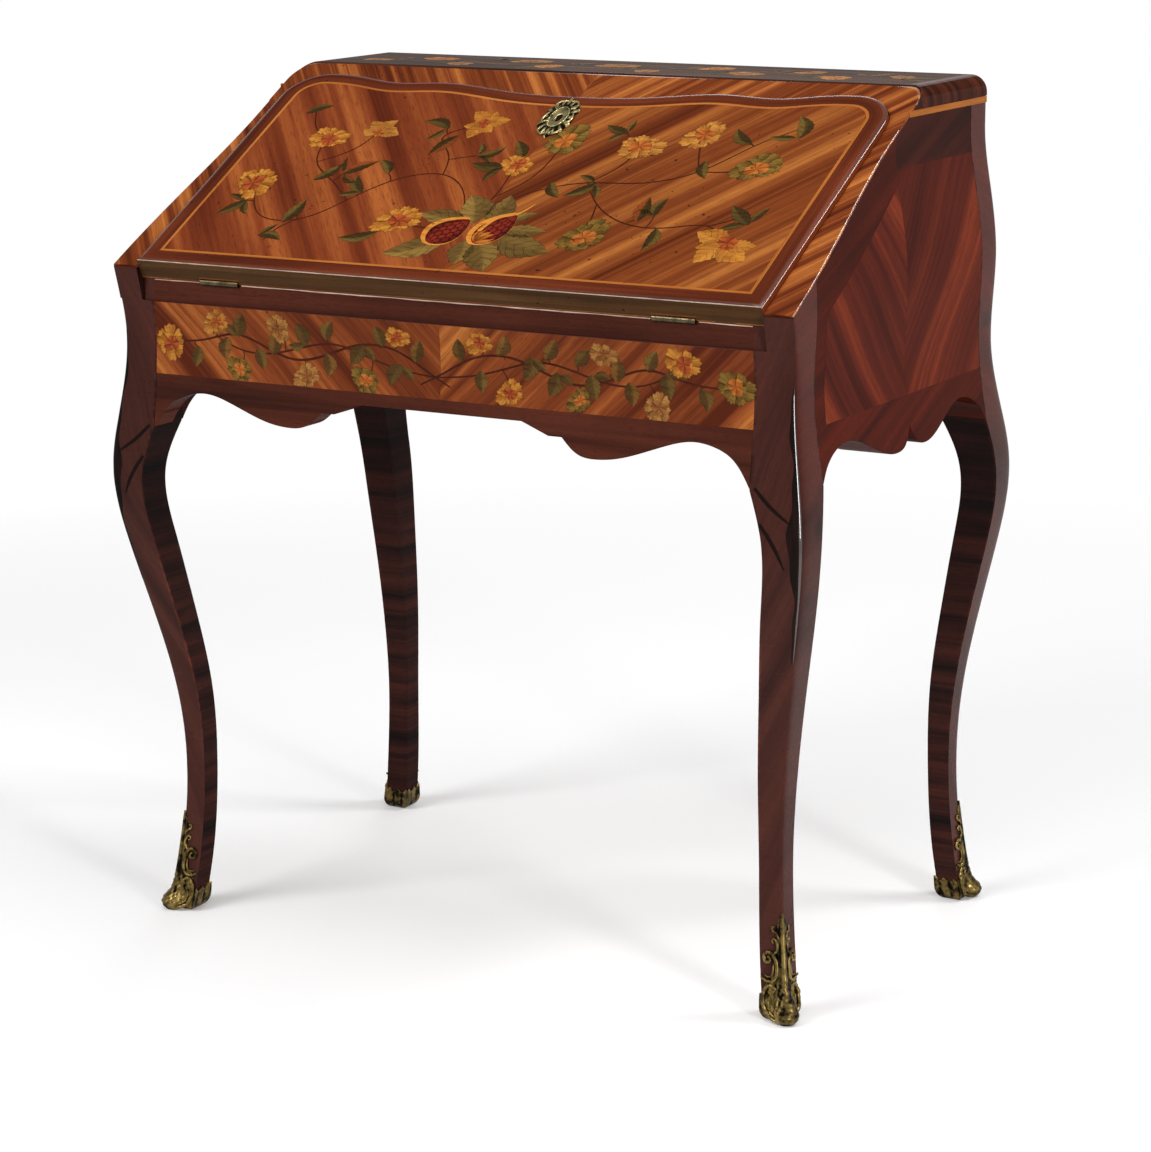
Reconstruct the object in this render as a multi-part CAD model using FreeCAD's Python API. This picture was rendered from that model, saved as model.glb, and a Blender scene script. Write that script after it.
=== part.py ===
import FreeCAD, Part
import os
from math import atan2, cos, degrees, hypot, sin, sqrt

# Slant-front writing desk on cabriole legs. Millimetres, +Z up, the front faces -Y.
# The origin is on the floor under the middle of the overall box.

V = FreeCAD.Vector

# Overall size: the width and the depth are taken across the knees
overall_height = 920.0
overall_width = 832.0
overall_depth = 531.0

# Heights at which the serpentine outline turns, as shares of the overall height
ankle_share = 0.1793
back_knee_share = 0.5054
knee_share = 0.5522
spring_share = 0.6043
waist_share = 0.6957
slope_foot_share = 0.7913
shoulder_share = 0.7989
neck_share = 0.9435

# How far the outline draws in from the knees at those heights
side_waist_draw = 15.5
side_shoulder_draw = 13.5
side_neck_draw = 29.5
side_ankle_draw = 47.0
side_foot_draw = 33.0
front_waist_draw = 14.3
front_lip_draw = 2.0
front_ankle_draw = 57.5
front_foot_draw = 43.0
back_waist_draw = 29.0
back_ankle_draw = 30.0
back_foot_draw = 18.0

# Points of the sweep between the turning points
calf_height_shares = (0.25, 0.54, 0.77)
calf_reach_shares = (0.115, 0.475, 0.81)
calf_width_shares = (0.21, 0.53, 0.79)
instep_height_share = 0.36
instep_reach_share = 0.46
thigh_height_share = 0.47
thigh_reach_share = 0.445
breast_height_share = 0.49
breast_reach_share = 0.48
lip_height_share = 0.56
lip_reach_share = 0.25

# Legs and corner posts
knee_width = 45.0
ankle_width = 26.0
foot_width = 27.0
post_width = 44.0
post_depth = 42.0

# Carcase boards
rail_thickness = 24.0
top_thickness = 22.0
top_round = 18.0
back_thickness = 12.0
back_inset = 4.0
back_board_rise = 44.0
bottom_thickness = 8.0
bottom_rise = 50.0
head_rail_height = 26.0
head_rail_depth = 48.5
banding_thickness = 2.0

# Front apron: rises are measured from the springing at the legs
apron_flat_rise = 44.0
apron_arch_rise = 40.0
apron_lobe_rise = 13.5
apron_ledge_rise = 32.0
apron_flat_share = 0.27
apron_ledge_shares = (0.36, 0.404)
apron_curve_shares = ((0.465, 0.08), (0.522, 0.0), (0.58, 0.09), (0.66, 0.4), (0.735, 0.755),
                      (0.818, 1.0), (0.881, 0.89), (0.934, 0.58))
apron_fillet_share = 0.5

# Side apron: two lobes that meet in a cusp
side_arch_rise = 32.0
side_lobe_rise = 2.0
side_cusp_rise = 25.0
side_cusp_share = 0.525
side_curve_shares = ((0.07, 0.16), (0.17, 0.0), (0.33, 0.21), (0.53, 0.76), (0.67, 1.0), (0.83, 0.84), (0.94, 0.4))

# Slope and its fall front
slope_run_share = 0.6516
lid_thickness = 23.0
lid_proud = 7.0
lid_foot = 3.0
lid_side_margin = 46.0
lid_head_margin = 57.7
lid_shoulder_rise = 24.0
lid_gap = 1.2
lid_rest_gap = 0.3
lid_cleat_width = 55.0
lid_corner_radius = 48.0
lid_edge_shares = ((0.0, 0.0), (0.25, 0.17), (0.4, 0.5), (0.53, 0.68), (0.74, 0.55), (0.86, 0.83), (0.94, 0.98),
                   (1.0, 1.0))
veneer_thickness = 2.0
band_width = 19.0
band_thickness = 7.0
band_round = 5.5
string_width = 4.0
leather_thickness = 1.2
leather_side_margin = 19.0
leather_margin = 34.0
leather_corner_radius = 18.0
banding_head_length = 80.0

# Hinges of the fall
hinge_place_share = 0.73
hinge_length = 48.0
knuckle_radius = 3.5
pin_radius = 1.6
pin_clearance = 0.05
knuckle_gap = 0.3
knuckle_share = 1 / 3
leaf_width = 20.0
leaf_thickness = 1.8
swing_gap = 1.0
rail_gap = 0.6
hinge_screw_radius = 1.3
hinge_screw_head_radius = 2.4
hinge_screw_length = 10.0
hinge_screw_spacing = 15.0
hinge_screw_inset_share = 0.64
screw_clearance = 0.05

# Lock in the fall
lock_width = 64.0
lock_length = 38.0
lock_depth = 10.0
lock_wall = 2.0
lock_edge_inset = 2.0
bolt_width = 18.0
bolt_length = 22.0
bolt_thickness = 5.0
bolt_throw = 9.0
bolt_clearance = 0.3
keeper_width = 46.0
keeper_height = 9.0
keeper_thickness = 2.0
keyhole_radius = 3.0
keyhole_slot_width = 3.0
keyhole_slot_length = 8.0
escutcheon_width = 46.0
escutcheon_length = 70.0
escutcheon_thickness = 3.0
escutcheon_drop = 41.0
escutcheon_shares = ((0.0, 0.5), (0.34, 0.42), (0.3, 0.3), (0.5, 0.12), (0.4, -0.1), (0.46, -0.24), (0.2, -0.36),
                     (0.0, -0.5))

# Writing bed, well and its sliding cover
bed_thickness = 18.0
well_width_share = 0.561
well_length_share = 0.442
well_wall = 12.0
cover_thickness = 12.0
cover_drop = 0.3
cover_end_gap = 0.4
cover_side_gap = 0.5
tongue_length = 6.0
tongue_height = 5.8
groove_height = 6.4
groove_depth = 6.5
cover_overlap = 10.0
finger_groove_radius = 12.0
finger_groove_depth = 4.0
finger_groove_length = 60.0
finger_groove_inset = 24.0

# Nest of drawers and pigeonholes under the top
nest_clearance = 5.0
nest_board = 8.0
nest_partition = 7.0
drawer_count = 3
pigeonhole_count = 4
drawer_opening_height = 50.0
drawer_side_gap = 0.5
drawer_top_gap = 0.8
drawer_slide_gap = 0.15
drawer_front_thickness = 12.0
drawer_wall = 7.0
drawer_bottom_thickness = 4.0
drawer_bottom_rise = 4.0
drawer_end_gap = 2.5
knob_radius = 7.0
knob_neck_radius = 3.0
knob_length = 15.0
knob_spigot_radius = 2.0
knob_spigot_length = 8.0
knob_clearance = 0.05
knob_neck_share = 0.4
knob_belly_share = 0.72

# Gilt sabots on the feet
sabot_wall = 3.0
sabot_sole = 2.0
sabot_rim_height = 28.0
sabot_height = 112.0
sabot_half_width = 20.5
sabot_toe_reach = 18.0
sabot_toe_height = 34.0
sabot_toe_half_width = 15.0
sabot_leaf_shares = ((1.0, 0.25), (1.0, 0.39), (0.5, 0.5), (0.79, 0.65), (0.42, 0.76), (0.36, 0.88), (0.0, 1.0))
sabot_toe_shares = ((0.3, 0.0), (0.86, 0.12), (1.0, 0.36), (0.66, 0.6), (0.25, 0.7), (0.0, 1.0))
sabot_plan_shares = ((0.0, 1.0), (0.45, 0.66), (0.86, 0.36), (1.0, 0.0))

# Derived heights
ankle_height = overall_height * ankle_share
back_knee_height = overall_height * back_knee_share
knee_height = overall_height * knee_share
spring_height = overall_height * spring_share
waist_height = overall_height * waist_share
slope_foot_height = overall_height * slope_foot_share
shoulder_height = overall_height * shoulder_share
neck_height = overall_height * neck_share
apron_flat_height = spring_height + apron_flat_rise
apron_arch_height = spring_height + apron_arch_rise
apron_lobe_height = spring_height + apron_lobe_rise
apron_ledge_height = spring_height + apron_ledge_rise
side_arch_height = spring_height + side_arch_rise
side_lobe_height = spring_height + side_lobe_rise
side_cusp_height = spring_height + side_cusp_rise
back_board_foot = spring_height + back_board_rise
bottom_height = spring_height + bottom_rise

# Derived places
cut_reach = 2 * overall_height
half_width = overall_width / 2
half_depth = overall_depth / 2
inner_half = half_width - side_waist_draw - post_width
front_waist_y = front_waist_draw - half_depth
front_post_back = front_waist_y + post_depth
back_plane = half_depth - back_waist_draw
back_post_front = back_plane - post_depth
back_board_front = back_plane - back_inset - back_thickness
frieze_back = front_waist_y + rail_thickness
top_underside = overall_height - top_thickness
bottom_top = bottom_height + bottom_thickness

slope_foot_y = front_lip_draw - half_depth
slope_run = overall_depth * slope_run_share
slope_rise = overall_height - slope_foot_height
slope_angle = atan2(slope_rise, slope_run)
slope_length = hypot(slope_run, slope_rise)
lid_sunk = lid_thickness - lid_proud
lid_half_width = half_width - lid_side_margin
lid_centre_length = slope_length - lid_head_margin - lid_foot
leather_half_width = lid_half_width - lid_cleat_width - leather_side_margin
banding_split = slope_length - banding_head_length
hinge_offset = lid_half_width * hinge_place_share
well_half_width = inner_half * well_width_share
lid_core_face = lid_proud - veneer_thickness
band_seat = lid_proud - band_thickness

hinge_y = slope_foot_y + lid_foot * cos(slope_angle) + lid_sunk * sin(slope_angle)
hinge_z = slope_foot_height + lid_foot * sin(slope_angle) - lid_sunk * cos(slope_angle)
rail_front = hinge_y + rail_gap
hinge_rail_foot = hinge_z - lid_thickness - swing_gap
bed_top = hinge_z
bed_foot = bed_top - bed_thickness
well_back = front_post_back + well_length_share * (back_board_front - front_post_back)
base_top = bed_top + nest_board
shelf_foot = base_top + drawer_opening_height
shelf_top = shelf_foot + nest_board
head_rail_foot = top_underside - head_rail_height
nest_top = head_rail_foot
nest_front = hinge_y + (nest_top - hinge_z) * slope_run / slope_rise + nest_clearance
drawer_length = back_board_front - nest_front - drawer_end_gap


# Small building blocks

def line(a, b):
    return Part.LineSegment(a, b).toShape()


def spline(points, end_tangent=None, start_tangent=None):
    curve = Part.BSplineCurve()
    if end_tangent is None:
        curve.interpolate(Points=points)
    else:
        start = points[1] - points[0] if start_tangent is None else start_tangent
        curve.interpolate(Points=points, InitialTangent=start, FinalTangent=end_tangent)
    return curve.toShape()


def prism(edges, direction):
    return Part.Face(Part.Wire(edges)).extrude(direction)


def polygon_prism(points, direction):
    return Part.Face(Part.makePolygon(points + points[:1])).extrude(direction)


def box(x0, x1, y0, y1, z0, z1):
    return Part.makeBox(x1 - x0, y1 - y0, z1 - z0, V(x0, y0, z0))


def on_slope(shape):
    # Slope frame: X stays X, Y runs up the slope, Z stands out of it
    turned = shape.copy()
    turned.Placement = FreeCAD.Placement(
        V(0, slope_foot_y, slope_foot_height), FreeCAD.Rotation(V(1, 0, 0), degrees(slope_angle))
    ).multiply(shape.Placement)
    return turned


def mirrored(shape):
    return shape.mirror(V(0, 0, 0), V(1, 0, 0))


def save(name, *solids):
    shape = solids[0] if len(solids) == 1 else Part.makeCompound(list(solids))
    shape.exportStep("parts/%s.step" % name)


# Serpentine outlines, each a list of (draw from the knee, height) from the floor upwards

def leg_sweep(knee_z, ankle_draw, foot_draw):
    instep = ankle_draw + (foot_draw - ankle_draw) * instep_reach_share
    points = [(foot_draw, 0), (instep, ankle_height * instep_height_share), (ankle_draw, ankle_height)]
    for height_share, reach_share in zip(calf_height_shares, calf_reach_shares):
        calf_z = ankle_height + height_share * (knee_z - ankle_height)
        points.append((ankle_draw * (1 - reach_share), calf_z))
    return points + [(0, knee_z)]


def thigh(knee_z, waist_draw):
    height = knee_z + thigh_height_share * (waist_height - knee_z)
    return [(waist_draw * thigh_reach_share, height), (waist_draw, waist_height)]


def leg_widths():
    calves = [ankle_width + share * (knee_width - ankle_width) for share in calf_width_shares]
    return [foot_width, foot_width, ankle_width] + calves + [knee_width]


side_sweep = leg_sweep(knee_height, side_ankle_draw, side_foot_draw)
front_sweep = leg_sweep(knee_height, front_ankle_draw, front_foot_draw)
back_sweep = leg_sweep(back_knee_height, back_ankle_draw, back_foot_draw)

side_outline = side_sweep + thigh(knee_height, side_waist_draw) + [
    (side_shoulder_draw, shoulder_height),
    (side_shoulder_draw + breast_reach_share * (side_neck_draw - side_shoulder_draw),
     shoulder_height + breast_height_share * (neck_height - shoulder_height)),
    (side_neck_draw, neck_height),
]
front_outline = front_sweep + thigh(knee_height, front_waist_draw) + [
    (front_waist_draw + lip_reach_share * (front_lip_draw - front_waist_draw),
     waist_height + lip_height_share * (slope_foot_height - waist_height)),
    (front_lip_draw, slope_foot_height),
]
back_outline = back_sweep + thigh(back_knee_height, back_waist_draw)


def side_points(outline, grow=0.0):
    return [V(half_width - draw + grow, 0, z) for draw, z in outline]


def front_points(outline, grow=0.0):
    return [V(0, draw - half_depth - grow, z) for draw, z in outline]


def back_points(outline, grow=0.0):
    return [V(0, half_depth - draw + grow, z) for draw, z in outline]


def inner_outline(sweep, grow=0.0):
    # The face of a leg that looks under the desk, one leg width behind its outer face
    return [(draw + width + grow, z) for (draw, z), width in zip(sweep, leg_widths())]


def leg_blank_side(grow=0.0):
    # The leg seen from the front: outer serpentine, post and inner sweep, cut right through the depth
    outer = side_points(side_outline, grow)
    inner = side_points(inner_outline(side_sweep, grow)) + [V(inner_half, 0, spring_height)]
    head = V(outer[-1].x, 0, overall_height)
    heel = V(inner_half, 0, overall_height)
    edges = [spline(outer, V(0, 0, 1)), line(outer[-1], head), line(head, heel), line(heel, inner[-1]),
             spline(inner), line(inner[0], outer[0])]
    blank = prism(edges, V(0, overall_depth, 0))
    blank.translate(V(0, -half_depth, 0))
    return blank


def leg_blank_front(grow=0.0):
    # The front leg seen from the side
    outer = front_points(front_outline, grow)
    inner = front_points(inner_outline(front_sweep, grow)) + [V(0, front_post_back, spring_height)]
    head = V(0, outer[-1].y, overall_height)
    heel = V(0, front_post_back, overall_height)
    edges = [spline(outer), line(outer[-1], head), line(head, heel), line(heel, inner[-1]),
             spline(inner), line(inner[0], outer[0])]
    return prism(edges, V(half_width + grow, 0, 0))


def leg_blank_back(grow=0.0):
    # The back leg seen from the side: its post stands straight above the waist
    outer = back_points(back_outline, grow)
    inner = back_points(inner_outline(back_sweep, grow)) + [V(0, back_post_front, spring_height)]
    head = V(0, outer[-1].y, overall_height)
    heel = V(0, back_post_front, overall_height)
    edges = [spline(outer, V(0, 0, 1)), line(outer[-1], head), line(head, heel), line(heel, inner[-1]),
             spline(inner), line(inner[0], outer[0])]
    return prism(edges, V(half_width + grow, 0, 0))


# The case as one block, which the sides, the top and the bandings are cut from

def case_block():
    outer = side_points(side_outline)
    shoulder = V(outer[-1].x, 0, overall_height - top_round)
    bend = top_round / sqrt(2)
    middle = V(outer[-1].x - top_round + bend, 0, overall_height - top_round + bend)
    crown = V(outer[-1].x - top_round, 0, overall_height)
    arc = Part.Arc(shoulder, middle, crown).toShape()
    foot = V(0, 0, 0)
    peak = V(0, 0, overall_height)
    edges = [spline(outer, V(0, 0, 1)), line(outer[-1], shoulder), arc, line(crown, peak), line(peak, foot),
             line(foot, outer[0])]
    half = prism(edges, V(0, overall_depth, 0))
    half.translate(V(0, -half_depth, 0))
    return half


def above_slope(depth):
    # Everything that stands higher than the given depth under the slope's face
    return on_slope(box(-overall_width, overall_width, 0, cut_reach, -depth, cut_reach))


def lid_edges(grow, level):
    # Outline of the fall in the slope frame: straight foot and sides, round corners, crossbow-shaped upper edge
    corner_x = lid_half_width - lid_corner_radius
    right = [V(corner_x * x_share, lid_foot + lid_centre_length + grow + lid_shoulder_rise * rise_share, level)
             for x_share, rise_share in lid_edge_shares]
    left = [V(-point.x, point.y, level) for point in right[1:]]
    radius = lid_corner_radius + grow
    bend = radius / sqrt(2)
    corner_y = right[-1].y - radius

    def corner(side):
        shoulder = V(side * corner_x, corner_y + radius, level)
        middle = V(side * (corner_x + bend), corner_y + bend, level)
        return Part.Arc(shoulder, middle, V(side * (corner_x + radius), corner_y, level)).toShape()

    half = lid_half_width + grow
    foot_left = V(-half, lid_foot - grow, level)
    foot_right = V(half, lid_foot - grow, level)
    return [spline(left[::-1] + right), corner(1), line(V(half, corner_y, level), foot_right),
            line(foot_right, foot_left), line(foot_left, V(-half, corner_y, level)), corner(-1)]


def lid_slab(grow, low, high):
    return prism(lid_edges(grow, low), V(0, 0, high - low))


lid_space = on_slope(lid_slab(lid_gap, -lid_sunk - lid_rest_gap, cut_reach))
swing_space = box(-lid_half_width - lid_gap, lid_half_width + lid_gap, -half_depth - rail_thickness, rail_front,
                  hinge_rail_foot, overall_height)


# Legs

def cut_front_top(shape):
    return shape.cut(above_slope(banding_thickness)).cut(lid_space).cut(swing_space)


def front_leg():
    leg = leg_blank_side().common(leg_blank_front())
    leg = leg.common(box(0, half_width, -half_depth, half_depth, sabot_sole, overall_height))
    return cut_front_top(leg)


def back_leg():
    leg = leg_blank_side().common(leg_blank_back())
    return leg.common(box(0, half_width, -half_depth, half_depth, sabot_sole, top_underside))


# Sabots: a shoe round the foot, a curled toe and a leaf up the outer arris

def toe_frame(end):
    # Origin at the foot's outer arris on the floor, X pointing out along the diagonal
    foot_y = front_foot_draw - half_depth if end < 0 else half_depth - back_foot_draw
    origin = V(half_width - side_foot_draw, foot_y, 0)
    return FreeCAD.Placement(origin, FreeCAD.Rotation(V(0, 0, 1), degrees(atan2(end, 1))))


def sabot_toe():
    heel = foot_width
    nose = [V(sabot_toe_reach * x, 0, sabot_toe_height * z) for x, z in sabot_toe_shares]
    sole_heel = V(-heel, 0, 0)
    crest_heel = V(-heel, 0, sabot_toe_height)
    edges = [spline(nose), line(nose[-1], crest_heel), line(crest_heel, sole_heel), line(sole_heel, nose[0])]
    side_view = prism(edges, V(0, 2 * sabot_toe_half_width, 0))
    side_view.translate(V(0, -sabot_toe_half_width, 0))
    right = [V(sabot_toe_reach * x, sabot_toe_half_width * y, 0) for x, y in sabot_plan_shares]
    left = [V(point.x, -point.y, 0) for point in right[:-1]]
    back_right = V(-heel, sabot_toe_half_width, 0)
    back_left = V(-heel, -sabot_toe_half_width, 0)
    edges = [spline(right + left[::-1]), line(left[0], back_left), line(back_left, back_right),
             line(back_right, right[0])]
    return side_view.common(prism(edges, V(0, 0, sabot_toe_height)))


def sabot_leaf():
    right = [V(-foot_width, sabot_half_width * u, sabot_height * z) for u, z in sabot_leaf_shares]
    left = [V(point.x, -point.y, point.z) for point in right[:-1]]
    edges = [spline(right + left[::-1]), line(left[0], right[0])]
    return prism(edges, V(2 * foot_width, 0, 0))


def sabot(leg_view, end):
    frame = toe_frame(end)
    grown = leg_blank_side(sabot_wall).common(leg_view(sabot_wall))
    shoe = grown.common(box(0, half_width, -half_depth, half_depth, 0, sabot_rim_height))
    toe = sabot_toe()
    toe.Placement = frame
    leaf = sabot_leaf()
    leaf.Placement = frame
    skin = grown.common(leaf)
    core = leg_blank_side().common(leg_view())
    core = core.common(box(0, half_width, -half_depth, half_depth, sabot_sole, spring_height))
    return shoe.cut(core).fuse([toe.cut(core), skin.cut(core)]).removeSplitter()


# Boards of the carcase

def side_board():
    # Serpentine outside, flat inside; the lower edge has two lobes that meet in a cusp
    span = back_post_front - front_post_back
    cusp_y = front_post_back + side_cusp_share * span
    drop = side_arch_height - side_lobe_height

    def lobe(spring_y):
        reach = spring_y - cusp_y
        points = [V(0, cusp_y, side_cusp_height)]
        points += [V(0, cusp_y + reach * u, side_lobe_height + drop * h) for u, h in side_curve_shares]
        return spline(points + [V(0, spring_y, spring_height)])

    front_head = V(0, front_post_back, top_underside)
    back_head = V(0, back_post_front, top_underside)
    edges = [lobe(front_post_back), line(V(0, front_post_back, spring_height), front_head),
             line(front_head, back_head), line(back_head, V(0, back_post_front, spring_height)),
             lobe(back_post_front)]
    board = prism(edges, V(half_width, 0, 0)).common(case_block())
    board = board.cut(box(-half_width, inner_half, -half_depth, half_depth, 0, overall_height))
    return board.cut(above_slope(banding_thickness)).cut(lid_space)


def frieze_rail():
    # Front rail with its shaped apron, hollow in section like the posts beside it
    drop = apron_arch_height - apron_lobe_height
    spring = V(inner_half, 0, spring_height)
    ledge_in, ledge_out = (V(inner_half * share, 0, apron_ledge_height) for share in apron_ledge_shares)
    curve = [ledge_out] + [V(inner_half * x, 0, apron_lobe_height + drop * h) for x, h in apron_curve_shares]
    flat = V(inner_half * apron_flat_share, 0, apron_flat_height)
    ogee = V((flat.x + ledge_in.x) / 2, 0,
             apron_ledge_height + apron_fillet_share * (apron_flat_height - apron_ledge_height))
    centre = V(0, 0, apron_flat_height)
    head = V(0, 0, hinge_rail_foot)
    corner = V(inner_half, 0, hinge_rail_foot)
    edges = [line(centre, flat), spline([flat, ogee, ledge_in]), line(ledge_in, ledge_out),
             spline(curve + [spring]), line(spring, corner), line(corner, head), line(head, centre)]
    half = prism(edges, V(0, half_depth + frieze_back, 0))
    half.translate(V(0, -half_depth, 0))
    front = front_points(front_outline)
    back = V(0, frieze_back, slope_foot_height)
    back_foot = V(0, frieze_back, 0)
    section = prism([spline(front), line(front[-1], back), line(back, back_foot), line(back_foot, front[0])],
                    V(inner_half, 0, 0))
    half = half.common(section)
    return half.fuse(mirrored(half)).removeSplitter()


def top_board():
    half = case_block().common(box(0, half_width, -half_depth, back_plane, top_underside, overall_height))
    half = half.cut(above_slope(banding_thickness)).cut(lid_space)
    return half.fuse(mirrored(half)).removeSplitter()


def slope_bandings():
    # Crossbanding on the slope round the fall: two stiles and a head
    layer = on_slope(box(0, half_width, 0, slope_length + top_thickness, -banding_thickness, 0))
    layer = layer.common(case_block()).cut(lid_space)
    layer = layer.cut(on_slope(box(0, lid_half_width + lid_gap, 0, lid_foot, -lid_sunk, lid_proud)))
    upper = on_slope(box(0, half_width, banding_split, cut_reach, -cut_reach, cut_reach))
    stile = layer.cut(upper)
    head = layer.common(upper)
    return stile, head.fuse(mirrored(head)).removeSplitter()


def head_rail():
    front = head_rail_depth
    depth_start = slope_foot_y + slope_run - front
    rail = box(-inner_half, inner_half, depth_start, depth_start + front, head_rail_foot, top_underside)
    rail = rail.cut(above_slope(banding_thickness)).cut(lid_space)
    return rail.cut(keeper_place()).cut(bolt_way())


# Lock, laid out in the slope frame from the middle of the lid's upper edge

lock_top = lid_foot + lid_centre_length - lock_edge_inset
lock_face = lock_depth - lid_sunk
bolt_level = -lid_sunk + lock_depth / 2
keyhole_y = lid_foot + lid_centre_length - escutcheon_drop


def keeper_place():
    low = lid_foot + lid_centre_length + lid_gap
    return on_slope(box(-keeper_width / 2, keeper_width / 2, low, low + keeper_thickness,
                        bolt_level - keeper_height / 2, bolt_level + keeper_height / 2))


def bolt_way():
    width = bolt_width / 2 + bolt_clearance
    depth = bolt_thickness / 2 + bolt_clearance
    return on_slope(box(-width, width, lock_top, lock_top + bolt_throw + bolt_clearance, bolt_level - depth,
                        bolt_level + depth))


def lock_case():
    case = box(-lock_width / 2, lock_width / 2, lock_top - lock_length, lock_top, -lid_sunk, lock_face)
    width = bolt_width / 2 + bolt_clearance
    depth = bolt_thickness / 2 + bolt_clearance
    case = case.cut(box(-width, width, lock_top - lock_length + lock_wall, lock_top, bolt_level - depth,
                        bolt_level + depth))
    return on_slope(case.cut(keyhole(bolt_level, cut_reach)))


def lock_bolt():
    return on_slope(box(-bolt_width / 2, bolt_width / 2, lock_top - bolt_length, lock_top,
                        bolt_level - bolt_thickness / 2, bolt_level + bolt_thickness / 2))


def keyhole(low, high):
    barrel = Part.makeCylinder(keyhole_radius, high - low, V(0, keyhole_y, low))
    slot = box(-keyhole_slot_width / 2, keyhole_slot_width / 2, keyhole_y - keyhole_slot_length, keyhole_y, low, high)
    return barrel.fuse(slot)


def escutcheon():
    right = [V(escutcheon_width * x, keyhole_y + escutcheon_length * y, lid_proud) for x, y in escutcheon_shares]
    left = [V(-point.x, point.y, point.z) for point in right[1:-1]]
    edges = [spline(right), spline([right[-1]] + left[::-1] + [right[0]])]
    plate = prism(edges, V(0, 0, escutcheon_thickness))
    return on_slope(plate.cut(keyhole(lid_proud, lid_proud + escutcheon_thickness)))


# Hinges: three knuckles on a pin, one leaf on the rail and one on the fall

def hinge_axis_cylinder(radius, x0, x1):
    return Part.makeCylinder(radius, x1 - x0, V(x0, 0, 0), V(1, 0, 0))


def hinge_leaf(offset, moving):
    # Built about its own axis: the leaf runs along +Y with its face level with the axis
    start = offset - hinge_length / 2
    end = offset + hinge_length / 2
    knuckle = hinge_length * knuckle_share
    middle = (start + knuckle, end - knuckle)
    if moving:
        barrels = [(middle[0] + knuckle_gap, middle[1] - knuckle_gap)]
        others = [(start, middle[0] + knuckle_gap), (middle[1] - knuckle_gap, end)]
        plate = box(start, end, 0, leaf_width, 0, leaf_thickness)
    else:
        barrels = [(start, middle[0]), (middle[1], end)]
        others = [middle]
        plate = box(start, end, 0, leaf_width, -leaf_thickness, 0)
    for x0, x1 in others:
        plate = plate.cut(hinge_axis_cylinder(knuckle_radius + knuckle_gap, x0, x1))
    leaf = plate.fuse([hinge_axis_cylinder(knuckle_radius, x0, x1) for x0, x1 in barrels]).removeSplitter()
    return leaf.cut(hinge_axis_cylinder(pin_radius + pin_clearance, start, end))


def hinge_pocket(offset, moving):
    # Room in the wood for the knuckles and the leaf
    start = offset - hinge_length / 2
    end = offset + hinge_length / 2
    knuckles = hinge_axis_cylinder(knuckle_radius + knuckle_gap, start - knuckle_gap, end + knuckle_gap)
    low = 0 if moving else -leaf_thickness
    return knuckles.fuse(box(start, end, 0, leaf_width, low, low + leaf_thickness))


def hinge_screw(offset, moving, clearance):
    # Countersunk screw whose head is flush with the leaf's face
    way = 1 if moving else -1
    depth = leaf_width * hinge_screw_inset_share
    head = Part.makeCone(hinge_screw_head_radius + clearance, hinge_screw_radius + clearance, leaf_thickness,
                         V(offset, depth, 0), V(0, 0, way))
    shank = Part.makeCylinder(hinge_screw_radius + clearance, hinge_screw_length + clearance, V(offset, depth, 0),
                              V(0, 0, way))
    return head.fuse(shank).removeSplitter()


def screw_offsets(offset):
    return [offset - hinge_screw_spacing, offset, offset + hinge_screw_spacing]


def at_hinge(shape, moving):
    # Moving pieces lie along the slope, fixed ones lie level on the rail
    if moving:
        shape.translate(V(0, lid_foot, -lid_sunk))
        return on_slope(shape)
    shape.translate(V(0, hinge_y, hinge_z))
    return shape


hinge_places = (-hinge_offset, hinge_offset)


def hinge_set(moving):
    leaves = []
    screws = []
    room = []
    for place in hinge_places:
        leaf = hinge_leaf(place, moving)
        room.append(at_hinge(hinge_pocket(place, moving), moving))
        for offset in screw_offsets(place):
            leaf = leaf.cut(hinge_screw(offset, moving, screw_clearance))
            room.append(at_hinge(hinge_screw(offset, moving, screw_clearance), moving))
            screws.append(at_hinge(hinge_screw(offset, moving, 0), moving))
        leaves.append(at_hinge(leaf, moving))
    return leaves, screws, room


def hinge_pins():
    return [at_hinge(hinge_axis_cylinder(pin_radius, place - hinge_length / 2, place + hinge_length / 2), False)
            for place in hinge_places]


# Fall front, in the slope frame before it is placed

leather_foot = lid_foot + leather_margin
leather_head = lock_top - lock_length - leather_margin / 2


def leather_slab(low):
    sheet = box(-leather_half_width, leather_half_width, leather_foot, leather_head, low, low + leather_thickness)
    upright = [edge for edge in sheet.Edges if abs(edge.tangentAt(edge.FirstParameter).z) > 0.5]
    return sheet.makeFillet(leather_corner_radius, upright)


def lid_core(room):
    core = lid_slab(0, -lid_sunk, band_seat).fuse(lid_slab(-band_width, band_seat, lid_core_face)).removeSplitter()
    core = on_slope(core.cut(keyhole(-lid_sunk, lid_core_face)))
    case = on_slope(box(-lock_width / 2, lock_width / 2, lock_top - lock_length, lock_top, -lid_sunk, lock_face))
    core = core.cut(case).cut(bolt_way()).cut(on_slope(leather_slab(-lid_sunk)))
    for pocket in room:
        core = core.cut(pocket)
    joint = lid_half_width - lid_cleat_width
    middle = core.common(on_slope(box(-joint, joint, -cut_reach, cut_reach, -cut_reach, cut_reach)))
    right = core.common(on_slope(box(joint, cut_reach, -cut_reach, cut_reach, -cut_reach, cut_reach)))
    left = core.common(on_slope(box(-cut_reach, -joint, -cut_reach, cut_reach, -cut_reach, cut_reach)))
    return middle, left, right


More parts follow.
